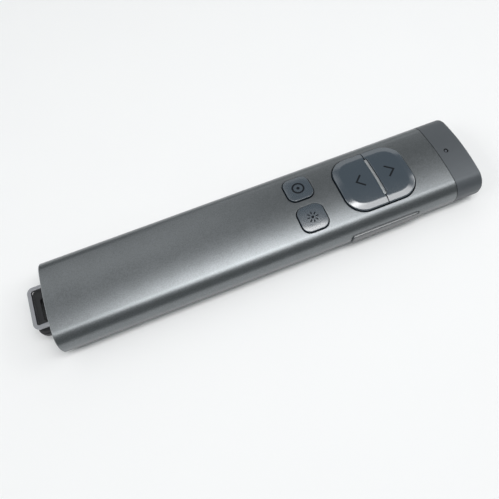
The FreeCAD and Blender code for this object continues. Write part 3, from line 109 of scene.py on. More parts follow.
# Rocker: its rim behind the wall, its depth, and its drafted edge
ROCKER_RIM = 0.6 * MM
ROCKER_RIM_INSET = 1.7 * MM
ROCKER_DEPTH = 3.2 * MM
ROCKER_ROUND = 0.2 * MM
ROCKER_SKIRT = 0.7 * MM
ROCKER_DRAFT = math.radians(14)

# Side windows: the side of the body, the rim and the travel of the piece behind, and the gap round it
SIDE_WINDOWS = {
    "volume_rocker": (-1, ROCKER_RIM, 0, 0.15 * MM),
    "power_slider": (1, 0.8 * MM, 2.5 * MM, 0.2 * MM),
    "charge_port": (1, 0, 0, 0.1 * MM),
}

# Printed marks: sink into the key, height over it, and places from the middle of the large key
INK_SINK = 0.05 * MM
INK_HEIGHT = 0.012 * MM
ARROW_TIPS = {"previous": -6.5 * MM, "next": 7.45 * MM}
ARROW_BACKS = {"previous": -4.1 * MM, "next": 4.85 * MM}
ARROW_REACH = 2.2 * MM
RING_RADIUS = 1.92 * MM
DOT_RADIUS = 0.55 * MM
SUN_RADIUS = 0.5 * MM
RAYS = {"Count": 8, "Radius": 1.5 * MM, "Length": 0.95 * MM, "Width": 0.4 * MM, "Height": 0.06 * MM}

# Rounding of the hard edges of mouldings and sheet that keep their own shape
SOFT_EDGES = (
    ("tail_cap", "tail_plug", "root", 0.15 * MM),
    ("charge_port", "charge_shell", "root", 0.07 * MM),
    ("power_slider", "power_thumb_piece", "power", 0.12 * MM),
    ("receiver_case", "receiver_body", "receiver", 0.2 * MM),
    ("receiver_pull", "receiver_grip", "receiver", 0.12 * MM),
    ("receiver_plug_shell", "receiver_shell", "receiver", 0.06 * MM),
)
WELD = 0.0005 * MM
FLAT_DEGREES = 0.6
EDGE_DEGREES = 35
EDGE_SEGMENTS = 3
SMOOTH_DEGREES = 32
NORMAL_WEIGHT = 50

# Plated contacts: how many, their spacing, length, width and height, and how far back from the tongue's end
PLUG_CONTACTS = {"Count": 4, "Spacing": 2.5 * MM,
                 "Length": 7.4 * MM, "Width": 1.2 * MM, "Height": 0.08 * MM}
PLUG_CONTACT_BACK = 0.9 * MM
PORT_CONTACTS = {"Count": 12, "Spacing": 0.5 * MM,
                 "Length": 3.2 * MM, "Width": 0.28 * MM, "Height": 0.06 * MM}
PORT_CONTACT_BACK = 0.7 * MM
CONTACT_PROUD = 0.02 * MM
TONGUE_HALF = 0.35 * MM

# Noise in the finishes: size of its spots, and for each finish its shares in tone, roughness and relief
CLOUD = 7 * MM
FINE_DETAIL, SOFT_DETAIL = 3.0, 1.0
SLEEVE_FINE, SLEEVE_GRAIN = 0.18 * MM, 0.4 * MM
SLEEVE_TONES = (0.35, 0.5, 0.15)
SLEEVE_TONE_RAMP = (0.3, 0.7)
SLEEVE_SPREAD = 0.14
SLEEVE_ROUGH, SLEEVE_ROUGH_SPANS = 0.35, (0.04, 0.1)
SLEEVE_RELIEF, SLEEVE_RELIEF_SHARES = 0.009 * MM, (0.4, 0.6)
MOULDED_TONES = (0.6, 0.4)
MOULDED_ROUGH_SPANS = (0.16, 0.06)
METAL_GRAIN, METAL_SPOTS = 0.3 * MM, 3 * MM
METAL_TONES = (0.5, 0.5)
METAL_SPREAD = 0.12
METAL_ROUGH_SPANS = (0.14, 0.1)
METAL_RELIEF = 0.004 * MM
WIPE_MARKS = 1.5 * MM

# Mouldings and paints: colour or its name in the panel, grain and relief in millimetres, roughness, spread
# of the tones, and where they differ the metallic share, the specular level and the index of refraction
MOULDINGS = {
    "cap_moulding": ("cap", 0.16, 0.006, 0.42, 0.08, 0.35),
    "key_paint": ("key", 0.14, 0.0015, 0.18, 0.05, 0.0, 0.62, 2.0),
    "small_key_paint": ("key", 0.14, 0.0015, 0.26, 0.05, 0.0, 0.62, 2.0),
    "rocker_paint": ("rocker", 0.14, 0.002, 0.28, 0.06, 0.0, 0.5, 2.0),
    "inner_moulding": ("inner", 0.3, 0.015, 0.5, 0.2),
    "mark_ink": ("mark", 0.1, 0.002, 0.6, 0.1, 0.0, 0.15),
    "switch_moulding": ((0.02, 0.02, 0.02), 0.3, 0.01, 0.45, 0.2),
    "stem_moulding": ((0.32, 0.045, 0.025), 0.3, 0.01, 0.45, 0.15),
    "chip_epoxy": ((0.012, 0.012, 0.014), 0.2, 0.01, 0.35, 0.3),
    "pad_foam": ((0.02, 0.02, 0.022), 0.5, 0.12, 0.85, 0.4),
    "cell_foil": ((0.42, 0.43, 0.45), 2.5, 0.03, 0.32, 0.08, 0.6),
}

# Bare metals: colour or its name in the panel, roughness, and how the fine lines are stretched
METALS = {
    "satin_bar": ("divider", 0.36, (1, 0.05, 1)),
    "satin_strip": ("loop", 0.42),
    "plated_steel": ((0.5, 0.5, 0.51), 0.3),
    "turned_brass": ((0.6, 0.42, 0.16), 0.28, (8, 1, 1)),
    "gold_plate": ("gold", 0.25),
}

# Clear pieces: colour, its shade where wiped, least roughness and its span, and how much light passes
CLEAR_INDEX = 1.49
GLASS = ((0.16, 0.17, 0.19), 0.92, 0.03, 0.06, 0.9)
PIPE = ((0.12, 0.13, 0.15), 1.2, 0.2, 0.1, 0.3)

# Bright cut edge at the sleeve's tail and painted shade along its seam with the cap: tones, and how far
# from the end they start and reach their full tone
CUT_TONE, CUT_FADE = 1.35, (0.34 * MM, 0.18 * MM)
SEAM_SHADE_TONE, SEAM_SHADE_FADE = 0.3, (0.26 * MM, 0.12 * MM)

# Light pipe's end: radius of its core, and the colour of the ring of painted shade round it in the pinhole
PIPE_CORE_RADIUS = 0.4 * MM
PIPE_PAINTED_SHADE = (0.004, 0.004, 0.006)

# Circuit board: cells between the tracks, the tracks' share of them, and the mask with and without copper
TRACK_CELL = 4 * MM
TRACK_SHARE = 0.06
TRACK_RAMP = (0.4, 0.6)
TRACK_RELIEF = 0.02 * MM
MASK_SPECK = 0.5 * MM
MASK_ROUGH, MASK_ROUGH_SPAN = 0.3, 0.2
MASK_COAT = 0.3
MASK_LOW, MASK_HIGH, MASK_TRACK = (0.008, 0.07, 0.03), (0.012, 0.1, 0.045), (0.03, 0.19, 0.08)
BLACK, WHITE = (0, 0, 0, 1), (1, 1, 1, 1)

# Floor: its reach, the size of its faint cloud, its darker tone and its dull paint
FLOOR_REACH = 3.0
FLOOR_CLOUD = 40 * MM
FLOOR_TONE = 0.985
FLOOR_ROUGH, FLOOR_SPECULAR = 0.9, 0.1


def length(title, words, size):
    """A length property, in metres, with a default given in millimetres."""
    return FloatProperty(name=title, description=words, default=size * MM, unit="LENGTH", precision=5)


def colour(title, words, value):
    return FloatVectorProperty(name=title, description=words, default=value, size=3, subtype="COLOR",
                               min=0, max=1)


class ClickerSizes(bpy.types.PropertyGroup):
    crown_radius: length("Crown radius", "Radius of the arched top of the body", 63.0)
    shoulder_radius: length("Shoulder radius", "Radius between the crown and the side", 5.6)
    side_flat: length("Side flat", "Upright stretch of the side wall", 1.0)
    wall: length("Wall", "Wall of the extruded sleeve", 1.2)
    tail_chamfer: length("Tail chamfer", "Bright cut edge at the tail end", 0.25)
    window_round: length("Window rounding", "Rounding of the edges of the sleeve's windows", 0.16)
    cap_round: length("Cap rounding", "Rounding of the cap's end edge", 0.7)
    pair_size: FloatVectorProperty(
        name="Large key", description="Length and width of the large key's window",
        default=(26.2 * MM, 21.9 * MM), size=2, unit="LENGTH", precision=5)
    pair_corner: length("Large key corner", "Corner radius of the large key's window", 7.0)
    pair_rise: length("Large key rise", "Height of the large key over the crown", 0.95)
    pair_drop: length("Large key drop", "How far the slope round the large key falls", 0.36)
    pair_inset: length("Large key slope", "Width of the slope round the large key", 2.2)
    pair_rim: length("Large key rim", "Rounding of the large key's rim", 0.35)
    small_size: length("Small key", "Side of a small key's window", 9.8)
    small_corner: length("Small key corner", "Corner radius of a small key's window", 3.0)
    small_rise: length("Small key rise", "Height of a small key over the crown", 0.55)
    small_drop: length("Small key drop", "How far the slope round a small key falls", 0.1)
    small_inset: length("Small key slope", "Width of the slope round a small key", 2.0)
    small_rim: length("Small key rim", "Rounding of a small key's rim", 0.2)
    key_gap: length("Key gap", "Gap round each key", 0.3)
    key_flange: length("Key flange", "Rim of each key under the sleeve", 0.75)
    split_gap: length("Split gap", "Gap between the halves of the large key", 0.3)
    split_round: length("Split rounding", "Rounding of the halves' facing edges", 0.15)
    bar_gap: length("Bar gap", "Gap round the divider bar", 0.15)
    rocker_corner: length("Rocker corner", "Corner radius of the rocker", 1.0)
    arrow_stroke: length("Arrow stroke", "Width of the arrows' strokes", 0.6)
    ring_stroke: length("Ring stroke", "Width of the ring's stroke", 0.6)
    loop_strip: length("Loop strip", "Width of the loop's strip", 1.3)
    loop_corner: length("Loop corner", "Outer corner radius of the loop", 2.0)
    loop_edge: length("Loop edge", "Rounding of the loop's edges", 0.16)


class ClickerColours(bpy.types.PropertyGroup):
    sleeve: colour("Sleeve", "Anodised metal of the body", (0.215, 0.228, 0.236))
    cap: colour("Cap", "Moulded end cap", (0.097, 0.107, 0.117))
    key: colour("Keys", "Painted keys", (0.032, 0.048, 0.065))
    rocker: colour("Rocker", "Painted rocker", (0.030, 0.037, 0.043))
    mark: colour("Marks", "Printed marks on the keys", (0.006, 0.008, 0.011))
    divider: colour("Divider", "Bar between the halves of the large key", (0.55, 0.57, 0.58))
    loop: colour("Loop", "Stamped metal of the loop", (0.36, 0.365, 0.385))
    inner: colour("Inner mouldings", "Black mouldings inside and in the tail", (0.018, 0.018, 0.020))
    gold: colour("Contacts", "Plated contacts", (0.72, 0.50, 0.20))
    floor: colour("Floor", "Pale floor", (0.93, 0.93, 0.93))
    world: colour("World", "Light from all round", (0.21, 0.225, 0.23))


def sizes():
    return bpy.context.scene.clicker_sizes


def colours():
    return bpy.context.scene.clicker_colours


class NodeTree:
    """A node tree, and a single way to add nodes to it."""

    def node(self, kind, inputs, settings=None, output=0):
        """Adds a node, with each input linked or set, and gives one of its outputs."""
        made = self.tree.nodes.new(kind)
        for name, value in (settings or {}).items():
            setattr(made, name, value)
        for name, value in inputs.items():
            if isinstance(value, bpy.types.NodeSocket):
                self.tree.links.new(value, made.inputs[name])
            else:
                made.inputs[name].default_value = value
        return made.outputs[output] if made.outputs else None


class Finish(NodeTree):
    """One material and its shader."""

    def __init__(self, name, constants):
        self.material = FINISHES[name] = bpy.data.materials.new(name)
        self.material.use_nodes = True
        self.tree = self.material.node_tree
        self.shader = self.tree.nodes["Principled BSDF"]
        for socket, value in constants.items():
            self.shader.inputs[socket].default_value = value
        self.place = self.node("ShaderNodeTexCoord", {}, None, "Object")

    def feed(self, socket, value):
        self.tree.links.new(value, self.shader.inputs[socket])

    def noise(self, feature, detail=2.0, stretch=(1, 1, 1)):
        """Noise whose spots are about one feature across, in metres."""
        where = self.node("ShaderNodeMapping", {"Vector": self.place, "Scale": stretch})
        return self.node("ShaderNodeTexNoise", {"Vector": where, "Scale": 1 / feature, "Detail": detail})

    def total(self, values, shares, start=0.0):
        """Start, plus each varying value times its share."""
        for value, share in zip(values, shares):
            inputs = {0: value, 1: share, 2: start}
            start = self.node("ShaderNodeMath", inputs, {"operation": "MULTIPLY_ADD"})
        return start

    def ramp(self, value, start, end):
        """0 at the start and 1 at the end, smooth between."""
        inputs = {0: value, 1: start, 2: end}
        return self.node("ShaderNodeMapRange", inputs, {"interpolation_type": "SMOOTHSTEP"})

    def mix(self, factor, low, high):
        """Colour between two colours."""
        low, high = [(*c, 1) if isinstance(c, tuple) else c for c in (low, high)]
        return self.node("ShaderNodeMix", {0: factor, 6: low, 7: high}, {"data_type": "RGBA"}, 2)

    def bump(self, height, depth):
        """Relief of a height from 0 to 1, so deep, in metres."""
        inputs = {"Strength": 1.0, "Distance": depth, "Height": height}
        self.feed("Normal", self.node("ShaderNodeBump", inputs))

    def tones(self, factor, base, spread):
        """A colour from darker to lighter by a spread."""
        return self.mix(factor, shade(base, 1 - spread), shade(base, 1 + spread))

    def roughen(self, mean, noises, spans):
        """Roughness about a mean, to which each noise adds its span."""
        self.feed("Roughness", self.total(noises, spans, mean - sum(spans) / 2))


def shade(base, share):
    """A colour made lighter or darker by a share."""
    return tuple(min(max(part * share, 0), 1) for part in base)


def anodised_metal(base):
    """Blasted and anodised: fine grain, a bright cut edge at the tail, and painted shade along the seam
    with the cap.
    """
    finish = Finish("anodised_metal", {"Metallic": 1.0})
    fine, grain = finish.noise(SLEEVE_FINE, FINE_DETAIL), finish.noise(SLEEVE_GRAIN, SOFT_DETAIL)
    speckle = finish.total((fine, grain, finish.noise(CLOUD)), SLEEVE_TONES)
    tint = finish.tones(finish.ramp(speckle, *SLEEVE_TONE_RAMP), base, SLEEVE_SPREAD)
    along = finish.node("ShaderNodeSeparateXYZ", {0: finish.place}, None, "X")
    edge = finish.ramp(along, *(SLEEVE_LOW.x + way for way in CUT_FADE))
    # painted shade: the sleeve darkens towards its head end, where the seam with the cap lies in shade
    seam = finish.ramp(along, *(SLEEVE_HIGH.x - way for way in SEAM_SHADE_FADE))
    worn = finish.mix(edge, tint, shade(base, CUT_TONE))
    finish.feed("Base Color", finish.mix(seam, worn, shade(base, SEAM_SHADE_TONE)))
    finish.roughen(SLEEVE_ROUGH, (fine, grain), SLEEVE_ROUGH_SPANS)
    finish.bump(finish.total((fine, grain), SLEEVE_RELIEF_SHARES), SLEEVE_RELIEF)


def moulded(name, base, grain, relief, rough, spread, metallic=0.0, specular=0.45, index=1.5):
    """Moulding or paint with a fine grain and a faint cloud; a metallic share stands for flakes in it."""
    finish = Finish(name, {"Metallic": metallic, "Specular IOR Level": specular, "IOR": index})
    noises = finish.noise(grain * MM, FINE_DETAIL), finish.noise(CLOUD)
    finish.feed("Base Color", finish.tones(finish.total(noises, MOULDED_TONES), base, spread))
    finish.roughen(rough, noises, MOULDED_ROUGH_SPANS)
    finish.bump(noises[0], relief * MM)


def metal(name, base, rough, lines=(1, 1, 1)):
    """Bare or plated metal with fine lines, and duller spots."""
    finish = Finish(name, {"Metallic": 1.0})
    noises = finish.noise(METAL_GRAIN, FINE_DETAIL, lines), finish.noise(METAL_SPOTS)
    finish.feed("Base Color", finish.tones(finish.total(noises, METAL_TONES), base, METAL_SPREAD))
    finish.roughen(rough, noises, METAL_ROUGH_SPANS)
    finish.bump(noises[0], METAL_RELIEF)


def clear(name, base, wiped, rough, span, transmission, painted_shade=None):
    """Clear or tinted glass or moulding with faint wiping marks, and with a ring of painted shade if one is
    given.
    """
    finish = Finish(name, {"Transmission Weight": transmission, "IOR": CLEAR_INDEX})
    marks = finish.noise(WIPE_MARKS)
    tint = finish.mix(marks, *sorted((base, shade(base, wiped))))
    finish.feed("Base Color", painted_shade(finish, tint) if painted_shade else tint)
    finish.feed("Roughness", finish.total([marks], [span], rough))


def pipe_end_shade(finish, tint):
    """Painted shade: a dark ring round the light pipe's end, standing for the shade down in the pinhole."""
    back = (PIPE_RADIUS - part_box("status_light_pipe")[1].x, 0, 0)
    inputs = {0: finish.place, 1: (1, 1, 0), 2: back}
    flat = finish.node("ShaderNodeVectorMath", inputs, {"operation": "MULTIPLY_ADD"})
    away = finish.node("ShaderNodeVectorMath", {0: flat}, {"operation": "LENGTH"}, "Value")
    edge = finish.ramp(away, PIPE_CORE_RADIUS, PIPE_CORE_RADIUS + PINHOLE_EDGE)
    return finish.mix(edge, tint, PIPE_PAINTED_SHADE)


def circuit_board():
    """Green solder mask over copper tracks."""
    finish = Finish("circuit_board", {"Coat Weight": MASK_COAT})
    cells = finish.node("ShaderNodeTexBrick", {
        "Vector": finish.place, "Scale": 1 / TRACK_CELL, "Mortar Size": TRACK_SHARE,
        "Color1": BLACK, "Color2": BLACK, "Mortar": WHITE})
    tracks = finish.ramp(cells, *TRACK_RAMP)
    speck = finish.noise(MASK_SPECK)
    finish.feed("Base Color", finish.mix(tracks, finish.mix(speck, MASK_LOW, MASK_HIGH), MASK_TRACK))
    finish.feed("Roughness", finish.total([speck], [MASK_ROUGH_SPAN], MASK_ROUGH))
    finish.bump(tracks, TRACK_RELIEF)


FINISHES = {}


def shared_materials():
    """Every finish by its name, made once."""
    if "anodised_metal" in FINISHES:
        return FINISHES
    hues = colours()
    anodised_metal(tuple(hues.sleeve))
    for kind, rows in ((moulded, MOULDINGS), (metal, METALS)):
        for name, (base, *values) in rows.items():
            kind(name, tuple(getattr(hues, base)) if isinstance(base, str) else base, *values)
    clear("window_glass", *GLASS)
    # the light pipe's end gets a ring of painted shade, for the shade in the pinhole
    clear("pipe_moulding", *PIPE, pipe_end_shade)
    circuit_board()
    return FINISHES


SLOT_FINISH = {
    "anodised_aluminium": "anodised_metal", "cap_plastic": "cap_moulding", "key_plastic": "key_paint",
    "divider_metal": "satin_bar", "loop_metal": "satin_strip", "inner_plastic": "inner_moulding",
    "board": "circuit_board", "steel": "plated_steel", "brass": "turned_brass", "foam": "pad_foam",
    "optical_glass": "window_glass", "light_guide": "pipe_moulding", "cell_wrap": "cell_foil",
    "switch_plastic": "switch_moulding", "stem_plastic": "stem_moulding", "chip_body": "chip_epoxy",
}
NODE_FINISH = {"volume_rocker": "rocker_paint", **dict.fromkeys(SMALL_KEYS, "small_key_paint")}


class Section:
    """The oval body section: arched crown, round shoulders, short upright sides, round lower edges."""

    def __init__(self):
        size = sizes()
        self.half = SLEEVE_HIGH.y
        self.crown = size.crown_radius
        self.shoulder = size.shoulder_radius
        self.crown_z = SLEEVE_HIGH.z - self.crown
        self.shoulder_y = self.half - self.shoulder
        reach = self.crown - self.shoulder
        self.shoulder_z = self.crown_z + math.sqrt(reach ** 2 - self.shoulder_y ** 2)
        self.lower = self.shoulder_z - size.side_flat
        self.turn = math.atan2(self.shoulder_z - self.crown_z, self.shoulder_y)

    def top(self, y, rise=0.0):
        """Height of the crown, or of a surface over it."""
        return self.crown_z + math.sqrt((self.crown + rise) ** 2 - y ** 2)

    def over(self, flat, rise, lift=0.0):
        """Flat points set over the crown, or over a surface that stands above it."""
        return [Vector((p.x, p.y, self.top(p.y, rise) + lift)) for p in flat]

    def side(self, z, rise=0.0):
        """Distance of the side wall from the middle at a height."""
        if z > self.shoulder_z:
            return self.shoulder_y + math.sqrt((self.shoulder + rise) ** 2 - (z - self.shoulder_z) ** 2)
        if z < self.lower:
            return self.half - self.lower + math.sqrt((self.lower + rise) ** 2 - (z - self.lower) ** 2)
        return self.half + rise

    def ring(self, x, inset, steps=28):
        """Points round the section at x, set in from the outer surface."""
        lower_y = self.half - self.lower
        points = []

        def arc(cy, cz, radius, start, end, count):
            for index in range(count + 1):
                angle = start + (end - start) * index / count
                points.append(Vector((x, cy + radius * math.cos(angle), cz + radius * math.sin(angle))))

        arc(lower_y, self.lower, self.lower - inset, -QUARTER, 0, steps)
        arc(self.shoulder_y, self.shoulder_z, self.shoulder - inset, 0, self.turn, steps)
        points.pop()
        arc(0, self.crown_z, self.crown - inset, self.turn, math.pi - self.turn, 3 * steps)
        points.pop()
        arc(-self.shoulder_y, self.shoulder_z, self.shoulder - inset, math.pi - self.turn, math.pi, steps)
        arc(-lower_y, self.lower, self.lower - inset, math.pi, math.pi + QUARTER, steps)
        return points


def outline(shape, grow=0.0, points=USUAL_POINTS):
    """Points round a rounded rectangle, grown all round, close enough to follow a curved surface.

    The shape holds its middle, its size and its corner radius."""
    mid, size, corner = shape
    per_corner, per_edge = points
    corner = corner + grow
    reach = [side / 2 + grow - corner for side in size]
    signs = ((1, 1), (-1, 1), (-1, -1), (1, -1))

    def spot(quarter, turn):
        sx, sy = signs[quarter % 4]
        centre = Vector((mid[0] + sx * reach[0], mid[1] + sy * reach[1]))
        return centre + corner * Vector((math.cos(turn * QUARTER), math.sin(turn * QUARTER)))

    ring = []
    for quarter in range(4):
        ring += [spot(quarter, quarter + index / per_corner) for index in range(per_corner + 1)]
        start, end = ring[-1], spot(quarter + 1, quarter + 1)
        ring += [start.lerp(end, index / per_edge) for index in range(1, per_edge)]
    return ring


def quarter_round(radius, steps, turn=QUARTER):
    """Inset and drop along a quarter circle, or less of it, from a wall up to a flat."""
    angles = [index / steps * turn for index in range(steps + 1)]
    return [(radius * (1 - math.cos(angle)), radius * (1 - math.sin(angle))) for angle in angles]


def flared(round_off):
    """Growth and lift of a cutter's rings from its straight wall out round the edge that it leaves."""
    rings = [(inset, -drop) for inset, drop in quarter_round(round_off, FLARE_STEPS)]
    return rings + [(FLARE_REACH * round_off, FLARE_LIFT * round_off)]


def level(flat, height):
    """Flat points set at one height."""
    return [Vector((p.x, p.y, height)) for p in flat]


def new_object(name, data):
    piece = bpy.data.objects.new(name, data)
    bpy.context.scene.collection.objects.link(piece)
    return piece


def mesh_object(name, mesh):
    """Object from a bmesh, which is then freed."""
    bmesh.ops.recalc_face_normals(mesh, faces=mesh.faces)
    data = bpy.data.meshes.new(name)
    mesh.to_mesh(data)
    mesh.free()
    return new_object(name, data)


def make_mesh(name, rings, closed=False):
    """Skin over rings of equal count; open ends are closed by one face or a fan."""
    mesh = bmesh.new()
    rows = [[mesh.verts.new(point) for point in ring] for ring in rings]
    pairs = list(zip(rows, rows[1:] + rows[:1])) if closed else list(zip(rows, rows[1:]))
    for low, high in pairs:
        count = len(low)
        for index in range(count):
            after = (index + 1) % count
            if len(high) == 1:
                mesh.faces.new((low[index], low[after], high[0]))
            else:
                mesh.faces.new((low[index], low[after], high[after], high[index]))
    if not closed:
        for row in (rows[0], rows[-1]):
            if len(row) > 1:
                mesh.faces.new(row)
    return mesh_object(name, mesh)


def baked(piece):
    """The piece with its modifiers made real."""
    evaluated = piece.evaluated_get(bpy.context.evaluated_depsgraph_get())
    data = bpy.data.meshes.new_from_object(evaluated)
    piece.modifiers.clear()
    old = piece.data
    piece.data = data
    bpy.data.meshes.remove(old)
    data.name = piece.name
    return piece


def cut(piece, tools):
    """Cuts tools from a piece, worked in millimetres, and removes them."""
    grow = Matrix.Scale(1 / MM, 4)
    for solid in (piece, *tools):
        solid.data.transform(grow)
    for tool in tools:
        step = piece.modifiers.new(tool.name, "BOOLEAN")
        step.operation = "DIFFERENCE"
        step.solver = "EXACT"
        step.object = tool
        baked(piece)
        bpy.data.objects.remove(tool)
    piece.data.transform(grow.inverted())
    return piece


def smooth(piece):
    """Smooth shading led by the large faces, with the sharp edges kept."""
    piece.data.shade_smooth()
    piece.data.set_sharp_from_angle(angle=math.radians(SMOOTH_DEGREES))
    normals = piece.modifiers.new("normals", "WEIGHTED_NORMAL")
    normals.keep_sharp = True
    normals.weight = NORMAL_WEIGHT
    return baked(piece)


def finished(piece, body, node, finish=None):
    """Gives a piece its finish and ties it to the frame."""
    slots = {part["node"]: part["material_slot"] for part in frame["record"]["subparts"]}
    finish = finish or NODE_FINISH.get(node, SLOT_FINISH[slots[node]])
    piece.data.materials.clear()
    piece.data.materials.append(shared_materials()[finish])
    smooth(piece)
    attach(piece, body)
    return piece


def placed(piece, body, node):
    """Finishes a piece that stands in a node's place."""
    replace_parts(finished(piece, body, node), node)


def crown_cutter(name, section, shape, rise, low, round_off, points=USUAL_POINTS):
    """Cutter down through the crown, or a surface over it, that rounds the edge it leaves."""
    rings = [level(outline(shape, 0, points), low)]
    for grow, lift in flared(round_off):
        flat = outline(shape, grow, points)
        rings.append(section.over(flat, rise, lift))
    rings.append(level(flat, section.top(0, rise) + OVERRUN))
    return make_mesh(name, rings)


def side_cutter(name, section, shape, side, round_off):
    """Cutter in through a side wall that rounds the edge it leaves."""
    inner = side * (section.half - ROCKER_DEPTH)
    rings = [[Vector((p.x, inner, p.y)) for p in outline(shape)]]
    for grow, lift in flared(round_off):
        flat = outline(shape, grow)
        rings.append([Vector((p.x, side * (section.side(p.y) + lift), p.y)) for p in flat])
    rings.append([Vector((p.x, side * (section.half + OVERRUN), p.y)) for p in flat])
    return make_mesh(name, rings)


def middle(node):
    """Middle of a node, seen from above."""
    low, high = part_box(node)
    return (low.x + high.x) / 2, (low.y + high.y) / 2


def pair_place():
    """Middle of the large key's window, from the tail half's rim."""
    size = sizes()
    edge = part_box("previous_button")[0].x + size.key_flange - size.key_gap
    return edge + size.pair_size[0] / 2, 0.0


def side_opening(node, rim, travel=0):
    """Middle and size, along and up, of what a side piece fills within its rim and over its travel."""
    low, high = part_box(node)
    mid = ((low.x + high.x + travel) / 2, (low.z + high.z) / 2)
    return mid, (high.x - low.x - 2 * rim + travel, high.z - low.z - 2 * rim)


class CLICKER_OT_sleeve(bpy.types.Operator):
    """Extruded metal sleeve with its windows"""
    bl_idname = "clicker.sleeve"
    bl_label = "Sleeve"

    def execute(self, context):
        size, section = sizes(), Section()
        low, high, chamfer = SLEEVE_LOW.x, SLEEVE_HIGH.x, size.tail_chamfer
        fine, floor = size.window_round / 2, section.shoulder_z
        steps = [(low, size.wall), (low, chamfer), (low + chamfer, 0),
                 (high - fine, 0), (high, fine), (high, size.wall)]
        sleeve = make_mesh("sleeve_tube", [section.ring(*step) for step in steps], closed=True)
        square = (size.small_size, size.small_size)
        windows = {"pair_window": (pair_place(), size.pair_size, size.pair_corner)}
        for node in SMALL_KEYS:
            windows[node + "_window"] = (middle(node), square, size.small_corner)
        tools = [crown_cutter(name, section, shape, 0, floor, size.window_round)
                 for name, shape in windows.items()]
        tools += [self.side_window(section, size, node, *window) for node, window in SIDE_WINDOWS.items()]
        placed(cut(sleeve, tools), "root", "sleeve")
        return {"FINISHED"}

    def side_window(self, section, size, node, side, rim, travel, gap):
        """Cutter for a side piece's window, which has round ends unless it is the rocker's."""
        mid, (along, up) = side_opening(node, rim, travel)
        along, up = along + 2 * gap, up + 2 * gap
        corner = size.rocker_corner + gap if node == "volume_rocker" else up / 2 * ROUND_END
        return side_cutter(node + "_window", section, (mid, (along, up), corner), side, size.window_round)


class CLICKER_OT_cap(bpy.types.Operator):
    """Moulded head cap with its spigot, pinhole and laser hole"""
    bl_idname = "clicker.cap"
    bl_label = "Head cap"

    def execute(self, context):
        size, section = sizes(), Section()
        seam, end, low = SLEEVE_HIGH.x + SEAM_GAP, CAP_HIGH.x, CAP_LOW.x
        spigot = size.wall + BORE_FIT
        hollow = spigot + CAP_WALL
        steps = [(end - CAP_END_WALL, hollow), (low, hollow), (low, spigot),
                 (seam, spigot), (seam, SEAM_EDGE), (seam + SEAM_EDGE, 0)]
        steps += [(end - drop, inset) for inset, drop in quarter_round(size.cap_round, ROUND_STEPS)]
        cap = make_mesh("head_cap_shell", [section.ring(*step) for step in steps])
        placed(cut(cap, self.holes(section)), "root", "head_cap")
        return {"FINISHED"}

    def holes(self, section):
        """Window seat with a flared lip, laser hole, and pinhole with a rounded edge."""
        low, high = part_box("laser_window")
        mid, depth = (low + high) / 2, CAP_END_WALL
        radius = (high.y - low.y) / 2 + BORE_FIT
        lip = CAP_HIGH.x - mid.x
        seat = turned("window_seat", mid, EAST, [(low.x - mid.x, radius), (lip - WINDOW_LIP, radius),
                                                 (lip + depth, radius + WINDOW_LIP + depth)])
        hole = turned("laser_hole", mid, EAST, [(-2 * depth, APERTURE), (lip, APERTURE)])
        pin = Vector((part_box("status_light_pipe")[1].x - PIPE_RADIUS, 0, 0))
        top, wide = section.top(0), PINHOLE + 2 * PINHOLE_EDGE
        profile = [(section.shoulder_z, PINHOLE), (top - PINHOLE_EDGE, PINHOLE), (top + PINHOLE_EDGE, wide)]
        return [seat, hole, turned("pinhole_tool", pin, UP, profile)]


def turned(name, origin, axis, profile, steps=48):
    """Solid turned about an axis from distances along it and radii."""
    turn = axis.to_track_quat("Z", "Y")
    rings = [level(circle_points((0, 0), radius, steps), along) for along, radius in profile]
    return make_mesh(name, [[origin + turn @ spot for spot in ring] for ring in rings])


def key_profile(drop, inset, rim, start_share):
    """Inset and drop up a key's edge: a round rim, then a slope that flattens towards the face."""
    start = start_share * drop / inset
    bend = 2 * (drop / inset - start) / inset
    steep = math.atan(start + bend * (inset - rim))
    reach = inset - rim * (1 - math.sin(steep))
    crest = reach * (start + bend * reach / 2) + rim * (math.cos(steep) - 1)
    points = [(way, crest + drop) for way, drop in quarter_round(rim, PROFILE_STEPS, QUARTER - steep)]
    for index in range(1, PROFILE_STEPS + 1):
        left = reach * (1 - index / PROFILE_STEPS)
        points.append((inset - left, left * (start + bend * left / 2)))
    return points


def key_solid(name, section, shape, rise, profile, low, focus):
    """Key cap: rim below, straight skirt, sloped edge, and a top that follows the crown round a focus."""
    flange, shelf, focus = sizes().key_flange, low + FLANGE_THICKNESS, Vector(focus)
    rings = [level(outline(shape, grow), height)
             for grow, height in ((flange, low), (flange, shelf), (0, shelf))]
    for inset, drop in profile:
        rings.append(section.over(outline(shape, -inset), rise, -drop))
    face = outline(shape, -profile[-1][0])
    for index in range(1, CROWN_RINGS):
        rings.append(section.over([focus.lerp(p, 1 - index / CROWN_RINGS) for p in face], rise))
    return make_mesh(name, rings + [section.over([focus], rise)])


